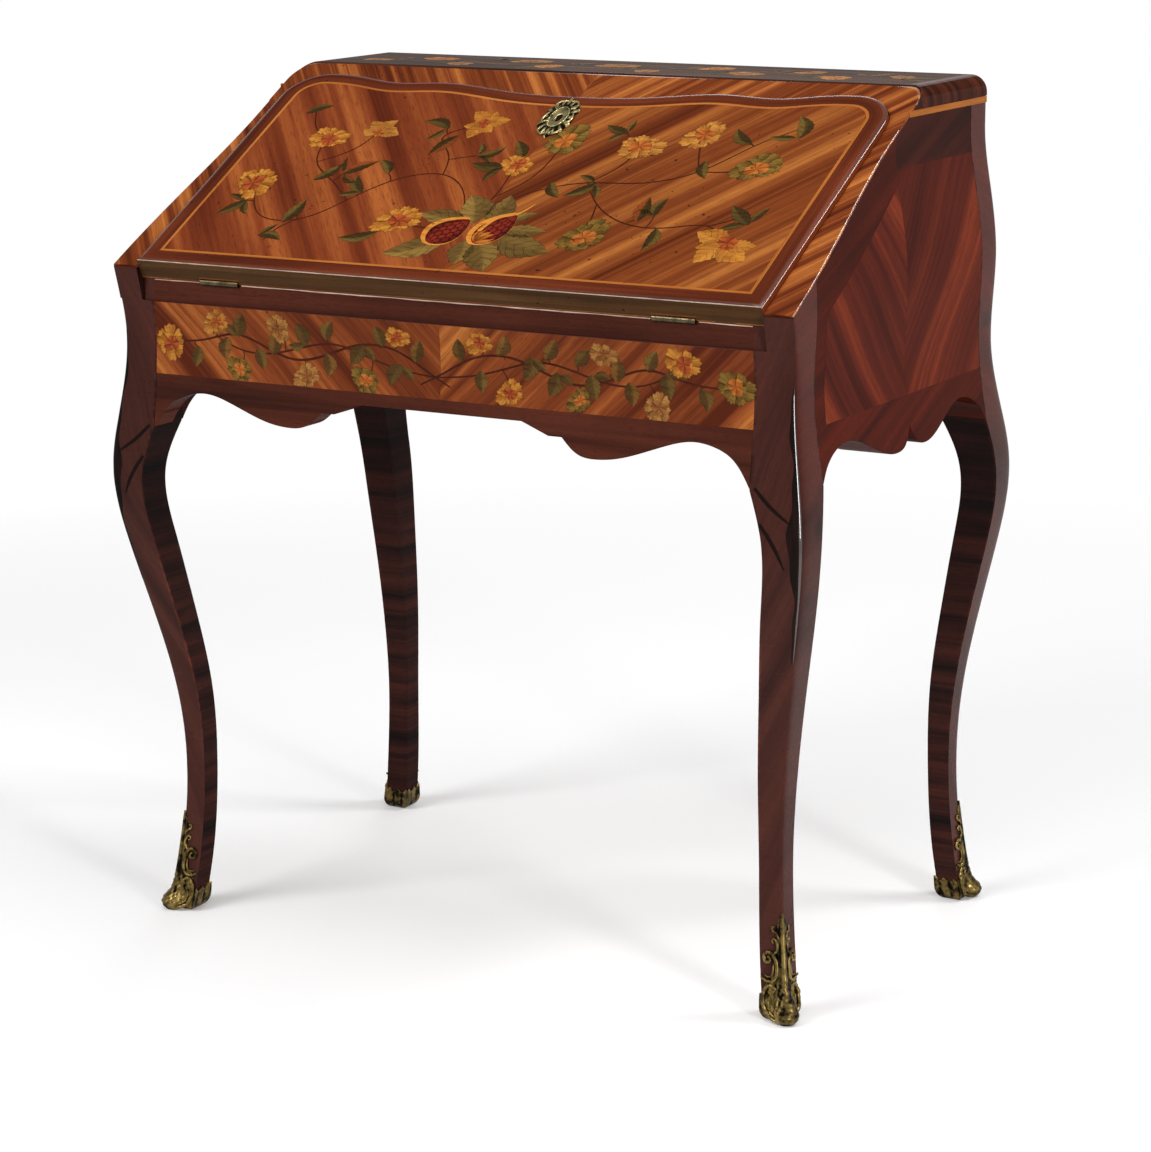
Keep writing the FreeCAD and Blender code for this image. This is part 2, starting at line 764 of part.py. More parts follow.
def lid_edging():
    # Solid edging let into the core's rebate, its outer arris rounded along the sides and the crest
    frame = lid_slab(0, band_seat, lid_proud).cut(lid_slab(-band_width, band_seat, lid_proud))
    arris = []
    for edge in frame.Edges:
        bounds = edge.BoundBox
        on_top = bounds.ZMin > band_seat and bounds.ZMax - bounds.ZMin < band_round
        at_side = max(abs(bounds.XMin), abs(bounds.XMax)) > lid_half_width - band_width / 2
        at_crest = bounds.YMax > lid_foot + lid_centre_length - band_width / 2
        at_foot = bounds.YMax < lid_foot + band_width / 2
        if on_top and not at_foot and (at_side or at_crest):
            arris.append(edge)
    return on_slope(frame.makeFillet(band_round, arris))


def lid_veneers():
    within_band = lid_slab(-band_width, lid_core_face, lid_proud)
    within_string = lid_slab(-band_width - string_width, lid_core_face, lid_proud)
    hole = keyhole(lid_core_face, lid_proud)
    return on_slope(within_band.cut(within_string).cut(hole)), on_slope(within_string.cut(hole))


# Writing bed and well

groove_mid = bed_top - cover_drop - cover_thickness + groove_height


def bed_side():
    board = box(well_half_width, inner_half, front_post_back, back_board_front, bed_foot, bed_top)
    groove = box(well_half_width, well_half_width + groove_depth, front_post_back, back_board_front,
                 groove_mid - groove_height / 2, groove_mid + groove_height / 2)
    return board.cut(groove)


def well_cover():
    front = front_post_back + cover_end_gap
    back = well_back + cover_overlap
    half = well_half_width - cover_side_gap
    top = bed_top - cover_drop
    board = box(-half, half, front, back, top - cover_thickness, top)
    tongue = half + tongue_length
    board = board.fuse(box(-tongue, tongue, front, back, groove_mid - tongue_height / 2,
                           groove_mid + tongue_height / 2)).removeSplitter()
    centre = V(-finger_groove_length / 2, front + finger_groove_inset, top + finger_groove_radius - finger_groove_depth)
    return board.cut(Part.makeCylinder(finger_groove_radius, finger_groove_length, centre, V(1, 0, 0)))


def well_walls():
    left = box(-well_half_width - well_wall, -well_half_width, frieze_back, well_back + well_wall, bottom_top, bed_foot)
    back = box(-well_half_width, well_half_width, well_back, well_back + well_wall, bottom_top, bed_foot)
    return left, mirrored(left), back


# Nest of drawers and pigeonholes

drawer_pitch = (2 * inner_half + nest_board) / drawer_count
drawer_width = drawer_pitch - nest_board - 2 * drawer_side_gap
drawer_height = drawer_opening_height - drawer_top_gap - drawer_slide_gap
drawer_foot = base_top + drawer_slide_gap
hole_pitch = (2 * inner_half + nest_partition) / pigeonhole_count


def drawer_centre(index):
    return (index - (drawer_count - 1) / 2) * drawer_pitch


def nest_dividers():
    dividers = []
    for index in range(drawer_count - 1):
        x = drawer_centre(index) + drawer_pitch / 2
        dividers.append(box(x - nest_board / 2, x + nest_board / 2, nest_front, back_board_front, base_top, shelf_foot))
    return dividers


def nest_partitions():
    partitions = []
    for index in range(1, pigeonhole_count):
        x = index * hole_pitch - inner_half - nest_partition / 2
        partitions.append(box(x - nest_partition / 2, x + nest_partition / 2, nest_front, back_board_front, shelf_top,
                              nest_top - nest_board))
    return partitions


def knob(x, z):
    # Turned brass knob with a spigot let into the drawer front
    neck = V(knob_neck_radius, 0, 0)
    waist = V(knob_neck_radius, -knob_length * knob_neck_share, 0)
    belly = V(knob_radius, -knob_length * knob_belly_share, 0)
    tip = V(0, -knob_length, 0)
    spigot_end = V(knob_spigot_radius, knob_spigot_length, 0)
    edges = [line(neck, waist), spline([waist, belly, tip]), line(tip, V(0, knob_spigot_length, 0)),
             line(V(0, knob_spigot_length, 0), spigot_end), line(spigot_end, V(knob_spigot_radius, 0, 0)),
             line(V(knob_spigot_radius, 0, 0), neck)]
    turned = Part.Face(Part.Wire(edges)).revolve(V(0, 0, 0), V(0, 1, 0), 360)
    turned.translate(V(x, nest_front, z))
    return turned


def drawer(index):
    # Front, two sides, back, bottom and knob of one drawer
    x = drawer_centre(index)
    left = x - drawer_width / 2
    right = x + drawer_width / 2
    top = drawer_foot + drawer_height
    behind = nest_front + drawer_front_thickness
    tail = nest_front + drawer_length
    floor = drawer_foot + drawer_bottom_rise
    middle = drawer_foot + drawer_height / 2
    front = box(left, right, nest_front, behind, drawer_foot, top)
    hole = Part.makeCylinder(knob_spigot_radius + knob_clearance, knob_spigot_length + knob_clearance,
                             V(x, nest_front, middle), V(0, 1, 0))
    sides = [box(left, left + drawer_wall, behind, tail, drawer_foot, top),
             box(right - drawer_wall, right, behind, tail, drawer_foot, top)]
    back = box(left + drawer_wall, right - drawer_wall, tail - drawer_wall, tail, floor + drawer_bottom_thickness, top)
    bottom = box(left + drawer_wall, right - drawer_wall, behind, tail, floor, floor + drawer_bottom_thickness)
    return front.cut(hole), sides, back, bottom, knob(x, middle)


# Build and write every piece

def build():
    os.makedirs("parts", exist_ok=True)

    leg = front_leg()
    save("front_leg_right", leg)
    save("front_leg_left", mirrored(leg))
    leg = back_leg()
    save("back_leg_right", leg)
    save("back_leg_left", mirrored(leg))

    shoe = sabot(leg_blank_front, -1)
    save("sabot_front_right", shoe)
    save("sabot_front_left", mirrored(shoe))
    shoe = sabot(leg_blank_back, 1)
    save("sabot_back_right", shoe)
    save("sabot_back_left", mirrored(shoe))

    board = side_board()
    save("side_board_right", board)
    save("side_board_left", mirrored(board))
    save("frieze_rail", frieze_rail())
    save("top_board", top_board())
    stile, head = slope_bandings()
    save("slope_banding_right", stile)
    save("slope_banding_left", mirrored(stile))
    save("slope_banding_head", head)
    save("head_rail", head_rail())
    save("back_board", box(-inner_half, inner_half, back_board_front, back_board_front + back_thickness,
                           back_board_foot, top_underside))
    save("bottom_board", box(-inner_half, inner_half, frieze_back, back_board_front, bottom_height, bottom_top))

    leaves, screws, room = hinge_set(False)
    rail = box(-inner_half, inner_half, rail_front, frieze_back, hinge_rail_foot, bed_top)
    for pocket in room:
        rail = rail.cut(pocket)
    save("hinge_rail", rail)
    save("hinge_leaves_rail", *leaves)
    save("hinge_screws_rail", *screws)
    save("hinge_pins", *hinge_pins())
    save("lock_keeper", keeper_place().cut(bolt_way()))

    save("bed_front", box(-inner_half, inner_half, frieze_back, front_post_back, bed_foot, bed_top))
    board = bed_side()
    save("bed_right", board)
    save("bed_left", mirrored(board))
    save("well_walls", *well_walls())
    save("well_cover", well_cover())

    save("nest_base", box(-inner_half, inner_half, nest_front, back_board_front, bed_top, base_top))
    save("nest_dividers", *nest_dividers())
    save("nest_shelf", box(-inner_half, inner_half, nest_front, back_board_front, shelf_foot, shelf_top))
    save("nest_partitions", *nest_partitions())
    save("nest_head", box(-inner_half, inner_half, nest_front, back_board_front, nest_top - nest_board, nest_top))
    for index, name in enumerate(("left", "middle", "right")):
        front, sides, back, bottom, turned = drawer(index)
        save("drawer_%s_front" % name, front)
        save("drawer_%s_sides" % name, *sides)
        save("drawer_%s_back" % name, back)
        save("drawer_%s_bottom" % name, bottom)
        save("drawer_%s_knob" % name, turned)

    leaves, screws, room = hinge_set(True)
    middle, left, right = lid_core(room)
    save("lid_panel", middle)
    save("lid_cleat_left", left)
    save("lid_cleat_right", right)
    save("lid_banding", lid_edging())
    string, field = lid_veneers()
    save("lid_stringing", string)
    save("lid_field", field)
    save("writing_leather", on_slope(leather_slab(-lid_sunk)))
    save("hinge_leaves_lid", *leaves)
    save("hinge_screws_lid", *screws)
    save("lock_case", lock_case())
    save("lock_bolt", lock_bolt())
    save("escutcheon", escutcheon())


build()
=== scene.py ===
"""Slant-front desk on cabriole legs: veneers, floral marquetry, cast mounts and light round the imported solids."""

import logging
import math
from dataclasses import dataclass, field
from enum import Enum
from typing import Callable, Optional, Sequence, Union

import bmesh
import bpy
import numpy as np
from mathutils import Matrix

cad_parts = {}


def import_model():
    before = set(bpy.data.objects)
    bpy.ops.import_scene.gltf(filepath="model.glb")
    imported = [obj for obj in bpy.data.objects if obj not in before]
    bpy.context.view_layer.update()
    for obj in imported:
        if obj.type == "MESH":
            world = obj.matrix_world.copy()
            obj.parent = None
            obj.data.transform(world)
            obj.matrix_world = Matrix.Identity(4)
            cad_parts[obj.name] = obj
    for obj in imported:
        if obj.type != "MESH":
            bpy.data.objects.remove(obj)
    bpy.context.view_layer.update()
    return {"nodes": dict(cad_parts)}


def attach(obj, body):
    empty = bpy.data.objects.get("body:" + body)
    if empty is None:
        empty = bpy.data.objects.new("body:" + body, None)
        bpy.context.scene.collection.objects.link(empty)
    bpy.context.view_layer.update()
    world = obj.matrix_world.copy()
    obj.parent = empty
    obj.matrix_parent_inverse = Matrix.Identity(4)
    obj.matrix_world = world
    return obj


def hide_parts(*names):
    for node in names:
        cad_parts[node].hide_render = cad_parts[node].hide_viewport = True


MM = 0.001
TURN = 2 * math.pi
QUARTER = math.pi / 2
EDGE_GRAIN = 6.0
Array = np.ndarray
Triple = tuple[float, float, float]
Rgb = Triple
Point = tuple[float, float]
Points = tuple[Point, ...]
Table = tuple[tuple[float, ...], ...]
Material = bpy.types.Material
Socket = bpy.types.NodeSocket
Value = Union[Socket, float, tuple]
Surface = Callable[[Array, Array, float], Array]
WHITE: Rgb = (1.0, 1.0, 1.0)
FRONTWARDS, UPWARDS, RIGHTWARDS = (0, -1, 0), (0, 0, 1), (1, 0, 0)
log = logging.getLogger("desk")


# Arrays and curves

def tone(*parts: float) -> Rgb:
    """Linear colour of a tone, with the curve of screens undone.

    Args:
        parts: red, green and blue from 0 to 255.
    Returns:
        The colour.
    """
    share = np.array(parts) / 255.0
    linear = np.where(share <= 0.04045, share / 12.92, ((share + 0.055) / 1.055) ** 2.4)
    return tuple(linear.tolist())


def stacked(*parts: Array) -> Array:
    """Coordinates side by side in a last axis."""
    return np.stack(np.broadcast_arrays(*parts), axis=-1)


def unit(vectors: Array) -> Array:
    """Vectors brought to a length of one."""
    return vectors / np.linalg.norm(vectors, axis=-1, keepdims=True)


def rows(low: float, high: float, count: int) -> Array:
    """Even steps as the rows of a grid."""
    return np.linspace(low, high, count)[:, None]


def columns(low: float, high: float, count: int) -> Array:
    """Even steps as the columns of a grid."""
    return np.linspace(low, high, count)[None, :]


def both_sides(x: Array) -> Array:
    """Places from the middle to the right, with their mirror images before them, as the columns of a grid."""
    return np.concatenate((-x[:0:-1], x))[None, :]


def blend(first: Sequence[float], second: Sequence[float], share: Array) -> Array:
    """Colours that go from the first to the second by a share from 0 to 1."""
    weight = np.clip(share, 0.0, 1.0)[..., None]
    return np.asarray(first) * (1.0 - weight) + np.asarray(second) * weight


def ramp(value: Array, low: float, high: float) -> Array:
    """Smooth step of a value: 0 below low, 1 above high, an S between."""
    step = np.clip((np.asarray(value) - low) / (high - low), 0.0, 1.0)
    return step * step * (3.0 - 2.0 * step)


def bell(value: Array, width: Array) -> Array:
    """Bell curve of a value: 1 at naught, falling off with the width."""
    return np.exp(-(value / width) ** 2)


def between(first: Point, second: Point, shares: Point) -> Point:
    """Point between two others, with a share of the way for each coordinate."""
    return tuple(start + (end - start) * share for start, end, share in zip(first, second, shares))


def spline(points: Sequence[Sequence[float]], count: int, end: Optional[Point] = None) -> Array:
    """Cubic spline through points, measured along its chords.

    Its second derivatives at the points solve the usual three-term rows, with free ends or a given end direction.

    Args:
        points: the points, in two or three coordinates.
        count: how many points of the curve are wanted.
        end: direction at the last point.
    Returns:
        The points of the curve.
    """
    knots = np.asarray(points, dtype=float)
    chord = np.linalg.norm(np.diff(knots, axis=0), axis=1)
    along = np.concatenate(([0.0], np.cumsum(chord)))
    size = len(knots)
    terms = np.zeros((size, size))
    right = np.zeros_like(knots)
    mid = np.arange(1, size - 1)
    terms[mid, mid - 1], terms[mid, mid], terms[mid, mid + 1] = chord[:-1], 2 * (chord[:-1] + chord[1:]), chord[1:]
    slope = np.diff(knots, axis=0) / chord[:, None]
    right[1:-1] = 6 * np.diff(slope, axis=0)
    terms[0, 0] = terms[-1, -1] = 1.0
    if end is not None:
        terms[-1, -2:] = chord[-1], 2 * chord[-1]
        right[-1] = 6 * (np.asarray(end) - slope[-1])
    bend = np.linalg.solve(terms, right)
    place = np.linspace(0.0, along[-1], count)
    span = np.clip(np.searchsorted(along, place, side="right") - 1, 0, size - 2)
    step = (place - along[span])[:, None]
    width = chord[span][:, None]
    rise = slope[span] - width * (2 * bend[span] + bend[span + 1]) / 6
    twist = (bend[span + 1] - bend[span]) / (6 * width)
    return knots[span] + step * rise + step ** 2 * bend[span] / 2 + step ** 3 * twist


def turned(along: Array, across: Array, degrees: float) -> Array:
    """Grain coordinates of a veneer whose grain lies at an angle to the first direction."""
    cosine, sine = math.cos(math.radians(degrees)), math.sin(math.radians(degrees))
    return stacked(along * cosine + across * sine, across * cosine - along * sine)


@dataclass
class Shell:
    """A mesh as whole arrays in millimetres: corners, faces, grain coordinates and a colour for each corner."""

    points: Array
    faces: list[Array]
    grain: Array
    tint: Array

    @staticmethod
    def grid(points: Array, grain: Optional[Array] = None, tint: Sequence[float] = WHITE,
             closed: bool = False) -> "Shell":
        """Surface on a grid of rows and columns, each cell one quad.

        Args:
            points: corners as rows, columns and coordinates.
            grain: grain coordinates for each corner, or none for its x and y.
            tint: one colour, or a colour for each corner.
            closed: joins the last column to the first.
        Returns:
            The surface.
        """
        size = points.shape[:2]
        index = np.arange(size[0] * size[1]).reshape(size)
        if closed:
            index = np.concatenate((index, index[:, :1]), axis=1)
        quads = np.stack((index[:-1, :-1], index[:-1, 1:], index[1:, 1:], index[1:, :-1]), axis=-1).reshape(-1, 4)
        flat = points.reshape(-1, 3).astype(float)
        grain = flat[:, :2] if grain is None else np.broadcast_to(grain, size + (2,)).reshape(-1, 2)
        return Shell(flat, [quads], grain, np.broadcast_to(tint, size + (3,)).reshape(-1, 3))

    @staticmethod
    def cap(loop: Array) -> "Shell":
        """Flat face with a closed row of points as its outline."""
        return Shell(loop, [np.arange(len(loop))[None, :]], loop[:, :2], np.ones_like(loop))

    @staticmethod
    def joined(shells: Sequence["Shell"]) -> "Shell":
        """Several shells as one.

        Args:
            shells: the shells.
        Returns:
            One shell, with their corners and faces in the same order.
        """
        starts = np.cumsum([0] + [len(shell.points) for shell in shells[:-1]])
        faces = [block + start for shell, start in zip(shells, starts) for block in shell.faces]
        points, grain, tint = (np.concatenate(parts) for parts in zip(*((s.points, s.grain, s.tint) for s in shells)))
        return Shell(points, faces, grain, tint)

    def flipped(self) -> "Shell":
        """The same shell with its faces turned round."""
        return Shell(self.points, [block[:, ::-1] for block in self.faces], self.grain, self.tint)

    def mirrored(self) -> "Shell":
        """The shell's mirror image across the middle of the desk."""
        return Shell(self.points * (-1.0, 1.0, 1.0), self.faces, self.grain, self.tint).flipped()

    def facing(self, direction: Sequence[float]) -> "Shell":
        """Turns the faces so that most of them look along a direction.

        Args:
            direction: the direction.
        Returns:
            The shell, turned round if that is needed.
        """
        quads = self.points[self.faces[0]]
        normal = np.cross(quads[:, 2] - quads[:, 0], quads[:, 3] - quads[:, 1]).sum(axis=0)
        return self if normal @ np.asarray(direction) >= 0 else self.flipped()

    def mesh(self, name: str, scale: float) -> bpy.types.Mesh:
        """Makes Blender's mesh of the shell.

        Args:
            name: its name.
            scale: what its points are multiplied by.
        Returns:
            The mesh.
        """
        made = bpy.data.meshes.new(name)
        made.from_pydata((self.points * scale).tolist(), [], [face for block in self.faces for face in block.tolist()])
        return made


def slab(outer: Array, inner: Array, grain: Array, tint: Sequence[float] = WHITE) -> Shell:
    """Closed board between two grids: both faces, and a strip from each side of one to the same side of the other.

    Args:
        outer: grid of the outer face.
        inner: grid of the inner face.
        grain: grain coordinates of both.
        tint: colour of the outer face.
    Returns:
        The board.
    """
    parts = [Shell.grid(outer, grain, tint), Shell.grid(inner[::-1], grain[::-1])]
    for pick in (np.s_[0, :], np.s_[-1, :], np.s_[:, 0], np.s_[:, -1]):
        edge = np.stack((grain[pick], grain[pick] + EDGE_GRAIN))
        parts.append(Shell.grid(np.stack((outer[pick], inner[pick])), edge))
    return Shell.joined(parts)


def tube(path: Array, radius: Array, up: Array, sides: int = 8) -> Shell:
    """Round bar along a path: a circle in the plane square to the path, of the radius at each point, ends closed.

    Args:
        path: points of the middle line.
        radius: radius at each point.
        up: a direction at each point that isn't along the path.
        sides: points round the circle.
    Returns:
        The bar, darker on its lower half.
    """
    ahead = unit(np.gradient(path, axis=0))
    side = unit(np.cross(ahead, up))
    angle = np.linspace(0, TURN, sides, endpoint=False)[None, :, None]
    ring = side[:, None] * np.cos(angle) + np.cross(side, ahead)[:, None] * np.sin(angle)
    points = path[:, None] + ring * np.asarray(radius)[:, None, None]
    body = Shell.grid(points, tint=0.45 + 0.55 * ramp(np.sin(angle), -0.7, 0.5), closed=True)
    return Shell.joined((body, Shell.cap(points[0, ::-1]), Shell.cap(points[-1])))


def ribbon(path: Array, width: Array, surface: Surface, lift: float, tint: Rgb) -> Shell:
    """Narrow strip on a surface: each point of the path moved to both sides by half the width there.

    Args:
        path: points in the surface's two coordinates.
        width: width at each point.
        surface: the surface, by two coordinates and a lift.
        lift: height over it.
        tint: colour of the strip.
    Returns:
        The strip.
    """
    ahead = unit(np.gradient(path, axis=0))
    side = stacked(-ahead[:, 1], ahead[:, 0]) * np.asarray(width)[:, None] / 2
    flat = np.stack((path + side, path - side), axis=1)
    return Shell.grid(surface(flat[..., 0], flat[..., 1], lift), (0.0, 0.0), tint)


# The desk's lines

@dataclass(frozen=True)
class Slope:
    """The sloping plane of the desk: its foot line, and how far it runs back and rises."""

    foot_y: float = -263.5
    foot_z: float = 727.996
    run: float = 346.0
    rise: float = 192.0

    @property
    def length(self) -> float:
        """Length of the slope."""
        return math.hypot(self.run, self.rise)

    @property
    def angle(self) -> float:
        """Angle of the slope in radians."""
        return math.atan2(self.rise, self.run)

    @property
    def normal(self) -> Array:
        """Direction that the slope looks in."""
        return np.array((0.0, -self.rise, self.run)) / self.length

    def at(self, x: Array, up: Array, out: Array) -> Array:
        """Points given by x, the way up the slope and the height over it."""
        cosine, sine = self.run / self.length, self.rise / self.length
        return stacked(x, self.foot_y + up * cosine - out * sine, self.foot_z + up * sine + out * cosine)

    def height(self, y: Array, drop: float = 0.0) -> Array:
        """Height of the plane, or of one a drop under it, at a depth."""
        return self.foot_z + (np.asarray(y) - self.foot_y) * self.rise / self.run - drop * self.length / self.run

    def depth(self, z: Array, drop: float = 0.0) -> Array:
        """Depth at which the plane, or one a drop under it, reaches a height."""
        return self.foot_y + (np.asarray(z) - self.foot_z + drop * self.length / self.run) * self.run / self.rise


@dataclass
class CaseLines:
    """The serpentine lines of the legs and the case, as distances from the desk's middle at each height."""

    height: float = 920.0
    half_width: float = 416.0
    half_depth: float = 265.5
    ankle: float = 164.96
    back_knee: float = 464.97
    knee: float = 508.02
    spring: float = 555.96
    waist: float = 640.04
    slope_foot: float = 727.996
    shoulder: float = 734.99
    neck: float = 868.02
    top_round: float = 18.0
    top_underside: float = 898.0
    rail_head: float = 691.46
    inner_half: float = 356.5
    fall_side: float = 371.2
    front_post_back: float = 209.2
    back_post_front: float = 194.5
    back_plane: float = 236.5
    banding: float = 2.0
    side_draw: Point = (47.0, 33.0)
    front_draw: Point = (57.5, 43.0)
    back_draw: Point = (30.0, 18.0)
    waist_draw: Triple = (15.5, 14.3, 29.0)
    shoulder_draw: float = 13.5
    neck_draw: float = 29.5
    lip_draw: float = 2.0
    foot_width: float = 27.0
    ankle_width: float = 26.0
    knee_width: float = 45.0
    calf_heights: tuple[float, ...] = (0.25, 0.54, 0.77)
    calf_reaches: tuple[float, ...] = (0.115, 0.475, 0.81)
    calf_widths: tuple[float, ...] = (0.21, 0.53, 0.79)
    foot_bend: Point = (0.46, 0.36)
    thigh_bend: Point = (0.445, 0.47)
    upper_bend: Point = (0.48, 0.49)
    lip_bend: Point = (0.25, 0.56)
    steps: int = 600
    curves: dict[str, Array] = field(default_factory=dict)

    def __post_init__(self) -> None:
        """Works out the outer and inner lines once."""
        side, front = self.sweep(self.knee, *self.side_draw), self.sweep(self.knee, *self.front_draw)
        back = self.sweep(self.back_knee, *self.back_draw)
        side_waist, front_waist, back_waist = self.waist_draw
        shoulder, neck = (self.shoulder_draw, self.shoulder), (self.neck_draw, self.neck)
        upper = [shoulder, between(shoulder, neck, self.upper_bend), neck]
        edge = (self.lip_draw, self.slope_foot)
        lip = [between((front_waist, self.waist), edge, self.lip_bend), edge]
        self.keep("side", self.half_width, side + self.thigh(self.knee, side_waist) + upper, (0.0, 1.0))
        self.keep("front", self.half_depth, front + self.thigh(self.knee, front_waist) + lip)
        self.keep("back", self.half_depth, back + self.thigh(self.back_knee, back_waist), (0.0, 1.0))
        calf = [self.ankle_width + share * (self.knee_width - self.ankle_width) for share in self.calf_widths]
        widths = [self.foot_width] * 2 + [self.ankle_width] + calf + [self.knee_width]
        for name, half, line, post in (("side", self.half_width, side, self.inner_half),
                                       ("front", self.half_depth, front, self.front_post_back),
                                       ("back", self.half_depth, back, self.back_post_front)):
            inner = [(draw + width, z) for (draw, z), width in zip(line, widths)] + [(half - post, self.spring)]
            self.keep("inner_" + name, half, inner)

    @property
    def neck_half(self) -> float:
        """Distance of the case's side at the neck."""
        return self.half_width - self.neck_draw

    def sweep(self, knee: float, ankle_draw: float, foot_draw: float) -> list[Point]:
        """Line of a leg from foot to knee.

        Args:
            knee: height of the knee.
            ankle_draw: how far the ankle is drawn in.
            foot_draw: how far the foot is drawn in.
        Returns:
            Distances drawn in, and heights.
        """
        bend = between((ankle_draw, 0.0), (foot_draw, self.ankle), self.foot_bend)
        points = [(foot_draw, 0.0), bend, (ankle_draw, self.ankle)]
        points += [(ankle_draw * (1 - reach), self.ankle + share * (knee - self.ankle))
                   for share, reach in zip(self.calf_heights, self.calf_reaches)]
        return points + [(0.0, knee)]

    def thigh(self, knee: float, waist_draw: float) -> list[Point]:
        """Line from above the knee to the waist."""
        waist = (waist_draw, self.waist)
        return [between((0.0, knee), waist, self.thigh_bend), waist]

    def keep(self, name: str, half: float, line: Sequence[Point], end: Optional[Point] = None) -> None:
        """Keeps the spline of a line as heights and distances from the middle."""
        curve = spline(line, self.steps, end)
        self.curves[name] = np.stack((curve[:, 1], np.minimum(half - curve[:, 0], half)))

    def reach(self, name: str, z: Array) -> Array:
        """Distance of a line from the desk's middle at some heights, straight up above its end."""
        return np.interp(z, *self.curves[name])

    def quarter_round(self, over: Array) -> Array:
        """Half chord of the top's quarter round at a distance past its centre."""
        return np.sqrt(np.maximum(self.top_round ** 2 - np.clip(over, 0.0, self.top_round) ** 2, 0.0))

    def case_side(self, z: Array) -> Array:
        """Distance of the case's side at some heights, with the quarter round of the top."""
        over = np.asarray(z) - (self.height - self.top_round)
        return self.reach("side", z) - self.top_round + self.quarter_round(over)


LINES = CaseLines()
SLOPE = Slope()


# Finishes

class GrainFrom(Enum):
    """Where a finish takes the direction of its grain from."""

    UV = "the piece's own map"
    X = "across the desk"
    Y = "front to back"
    Z = "upright"
    SLOPE = "up the slope"
    NONE = "no grain"


class Graph:
    """A node tree with short calls for adding and joining nodes."""

    def __init__(self, tree: bpy.types.NodeTree) -> None:
        """Keeps the tree."""
        self.tree = tree

    def feed(self, node: bpy.types.Node, inputs: dict) -> None:
        """Sets or joins inputs of a node.

        Args:
            node: the node.
            inputs: value or socket for each input; a colour of three parts is opaque.
        """
        for name, value in inputs.items():
            socket = node.inputs[name]
            if isinstance(value, Socket):
                self.tree.links.new(value, socket)
            else:
                socket.default_value = (*value, 1.0) if socket.type == "RGBA" and len(value) == 3 else value

    def add(self, kind: str, inputs: Optional[dict] = None, **settings: object) -> bpy.types.Node:
        """Adds a node.

        Args:
            kind: Blender's name for the node, without its first two words.
            inputs: value or socket for each input.
            settings: other settings of the node.
        Returns:
            The node.
        """
        node = self.tree.nodes.new("ShaderNode" + kind)
        for name, value in settings.items():
            setattr(node, name, value)
        self.feed(node, inputs or {})
        return node

    def take(self, kind: str, inputs: Optional[dict] = None, output: Union[int, str] = 0, **settings: object) -> Socket:
        """Adds a node and gives one of its outputs."""
        return self.add(kind, inputs, **settings).outputs[output]

    def place(self) -> Socket:
        """Coordinates of the object."""
        return self.take("TexCoord", output="Object")

    def tint(self, output: str = "Color") -> Socket:
        """The piece's own tint."""
        return self.take("Attribute", output=output, attribute_name="tint")

    def mix(self, share: Value, first: Value, second: Value, kind: str = "MIX") -> Socket:
        """Mixes two colours by a share."""
        return self.take("Mix", {0: share, 6: first, 7: second}, 2, data_type="RGBA", blend_type=kind)

    def math(self, kind: str, first: Value, second: Value = 0.0, third: Value = 0.0, clamp: bool = False) -> Socket:
        """Works out one number from up to three."""
        return self.take("Math", {0: first, 1: second, 2: third}, operation=kind, use_clamp=clamp)

    def span(self, value: Value, low: float, high: float, to_low: float = 0.0, to_high: float = 1.0) -> Socket:
        """Carries a value from one span to another, clamped."""
        return self.take("MapRange", {"Value": value, "From Min": low, "From Max": high, "To Min": to_low,
                                      "To Max": to_high})

    def noise(self, vector: Value, scale: float, detail: float, rough: float = 0.5, bend: float = 0.0) -> Socket:
        """Cloudy noise on a vector."""
        return self.take("TexNoise", {"Vector": vector, "Scale": scale, "Detail": detail, "Roughness": rough,
                                      "Distortion": bend})

    def bump(self, strength: float, distance: float, height: Socket) -> Socket:
        """Small relief from a height."""
        return self.take("Bump", {"Strength": strength, "Distance": distance, "Height": height})

    def group(self, tree: bpy.types.NodeTree, **inputs: Value) -> bpy.types.NodeOutputs:
        """Adds a shared group and gives its outputs."""
        return self.add("Group", inputs, node_tree=tree).outputs

    def stretched(self, vector: Value, along: Value, across: Value) -> Socket:
        """A vector scaled along the grain and across it.

        Args:
            vector: the vector.
            along: scale along the grain.
            across: scale across it.
        Returns:
            The scaled vector.
        """
        parts = self.add("SeparateXYZ", {0: vector}).outputs
        scaled = [self.math("MULTIPLY", part, scale) for part, scale in zip(parts, (along, across, across))]
        return self.take("CombineXYZ", dict(enumerate(scaled)))


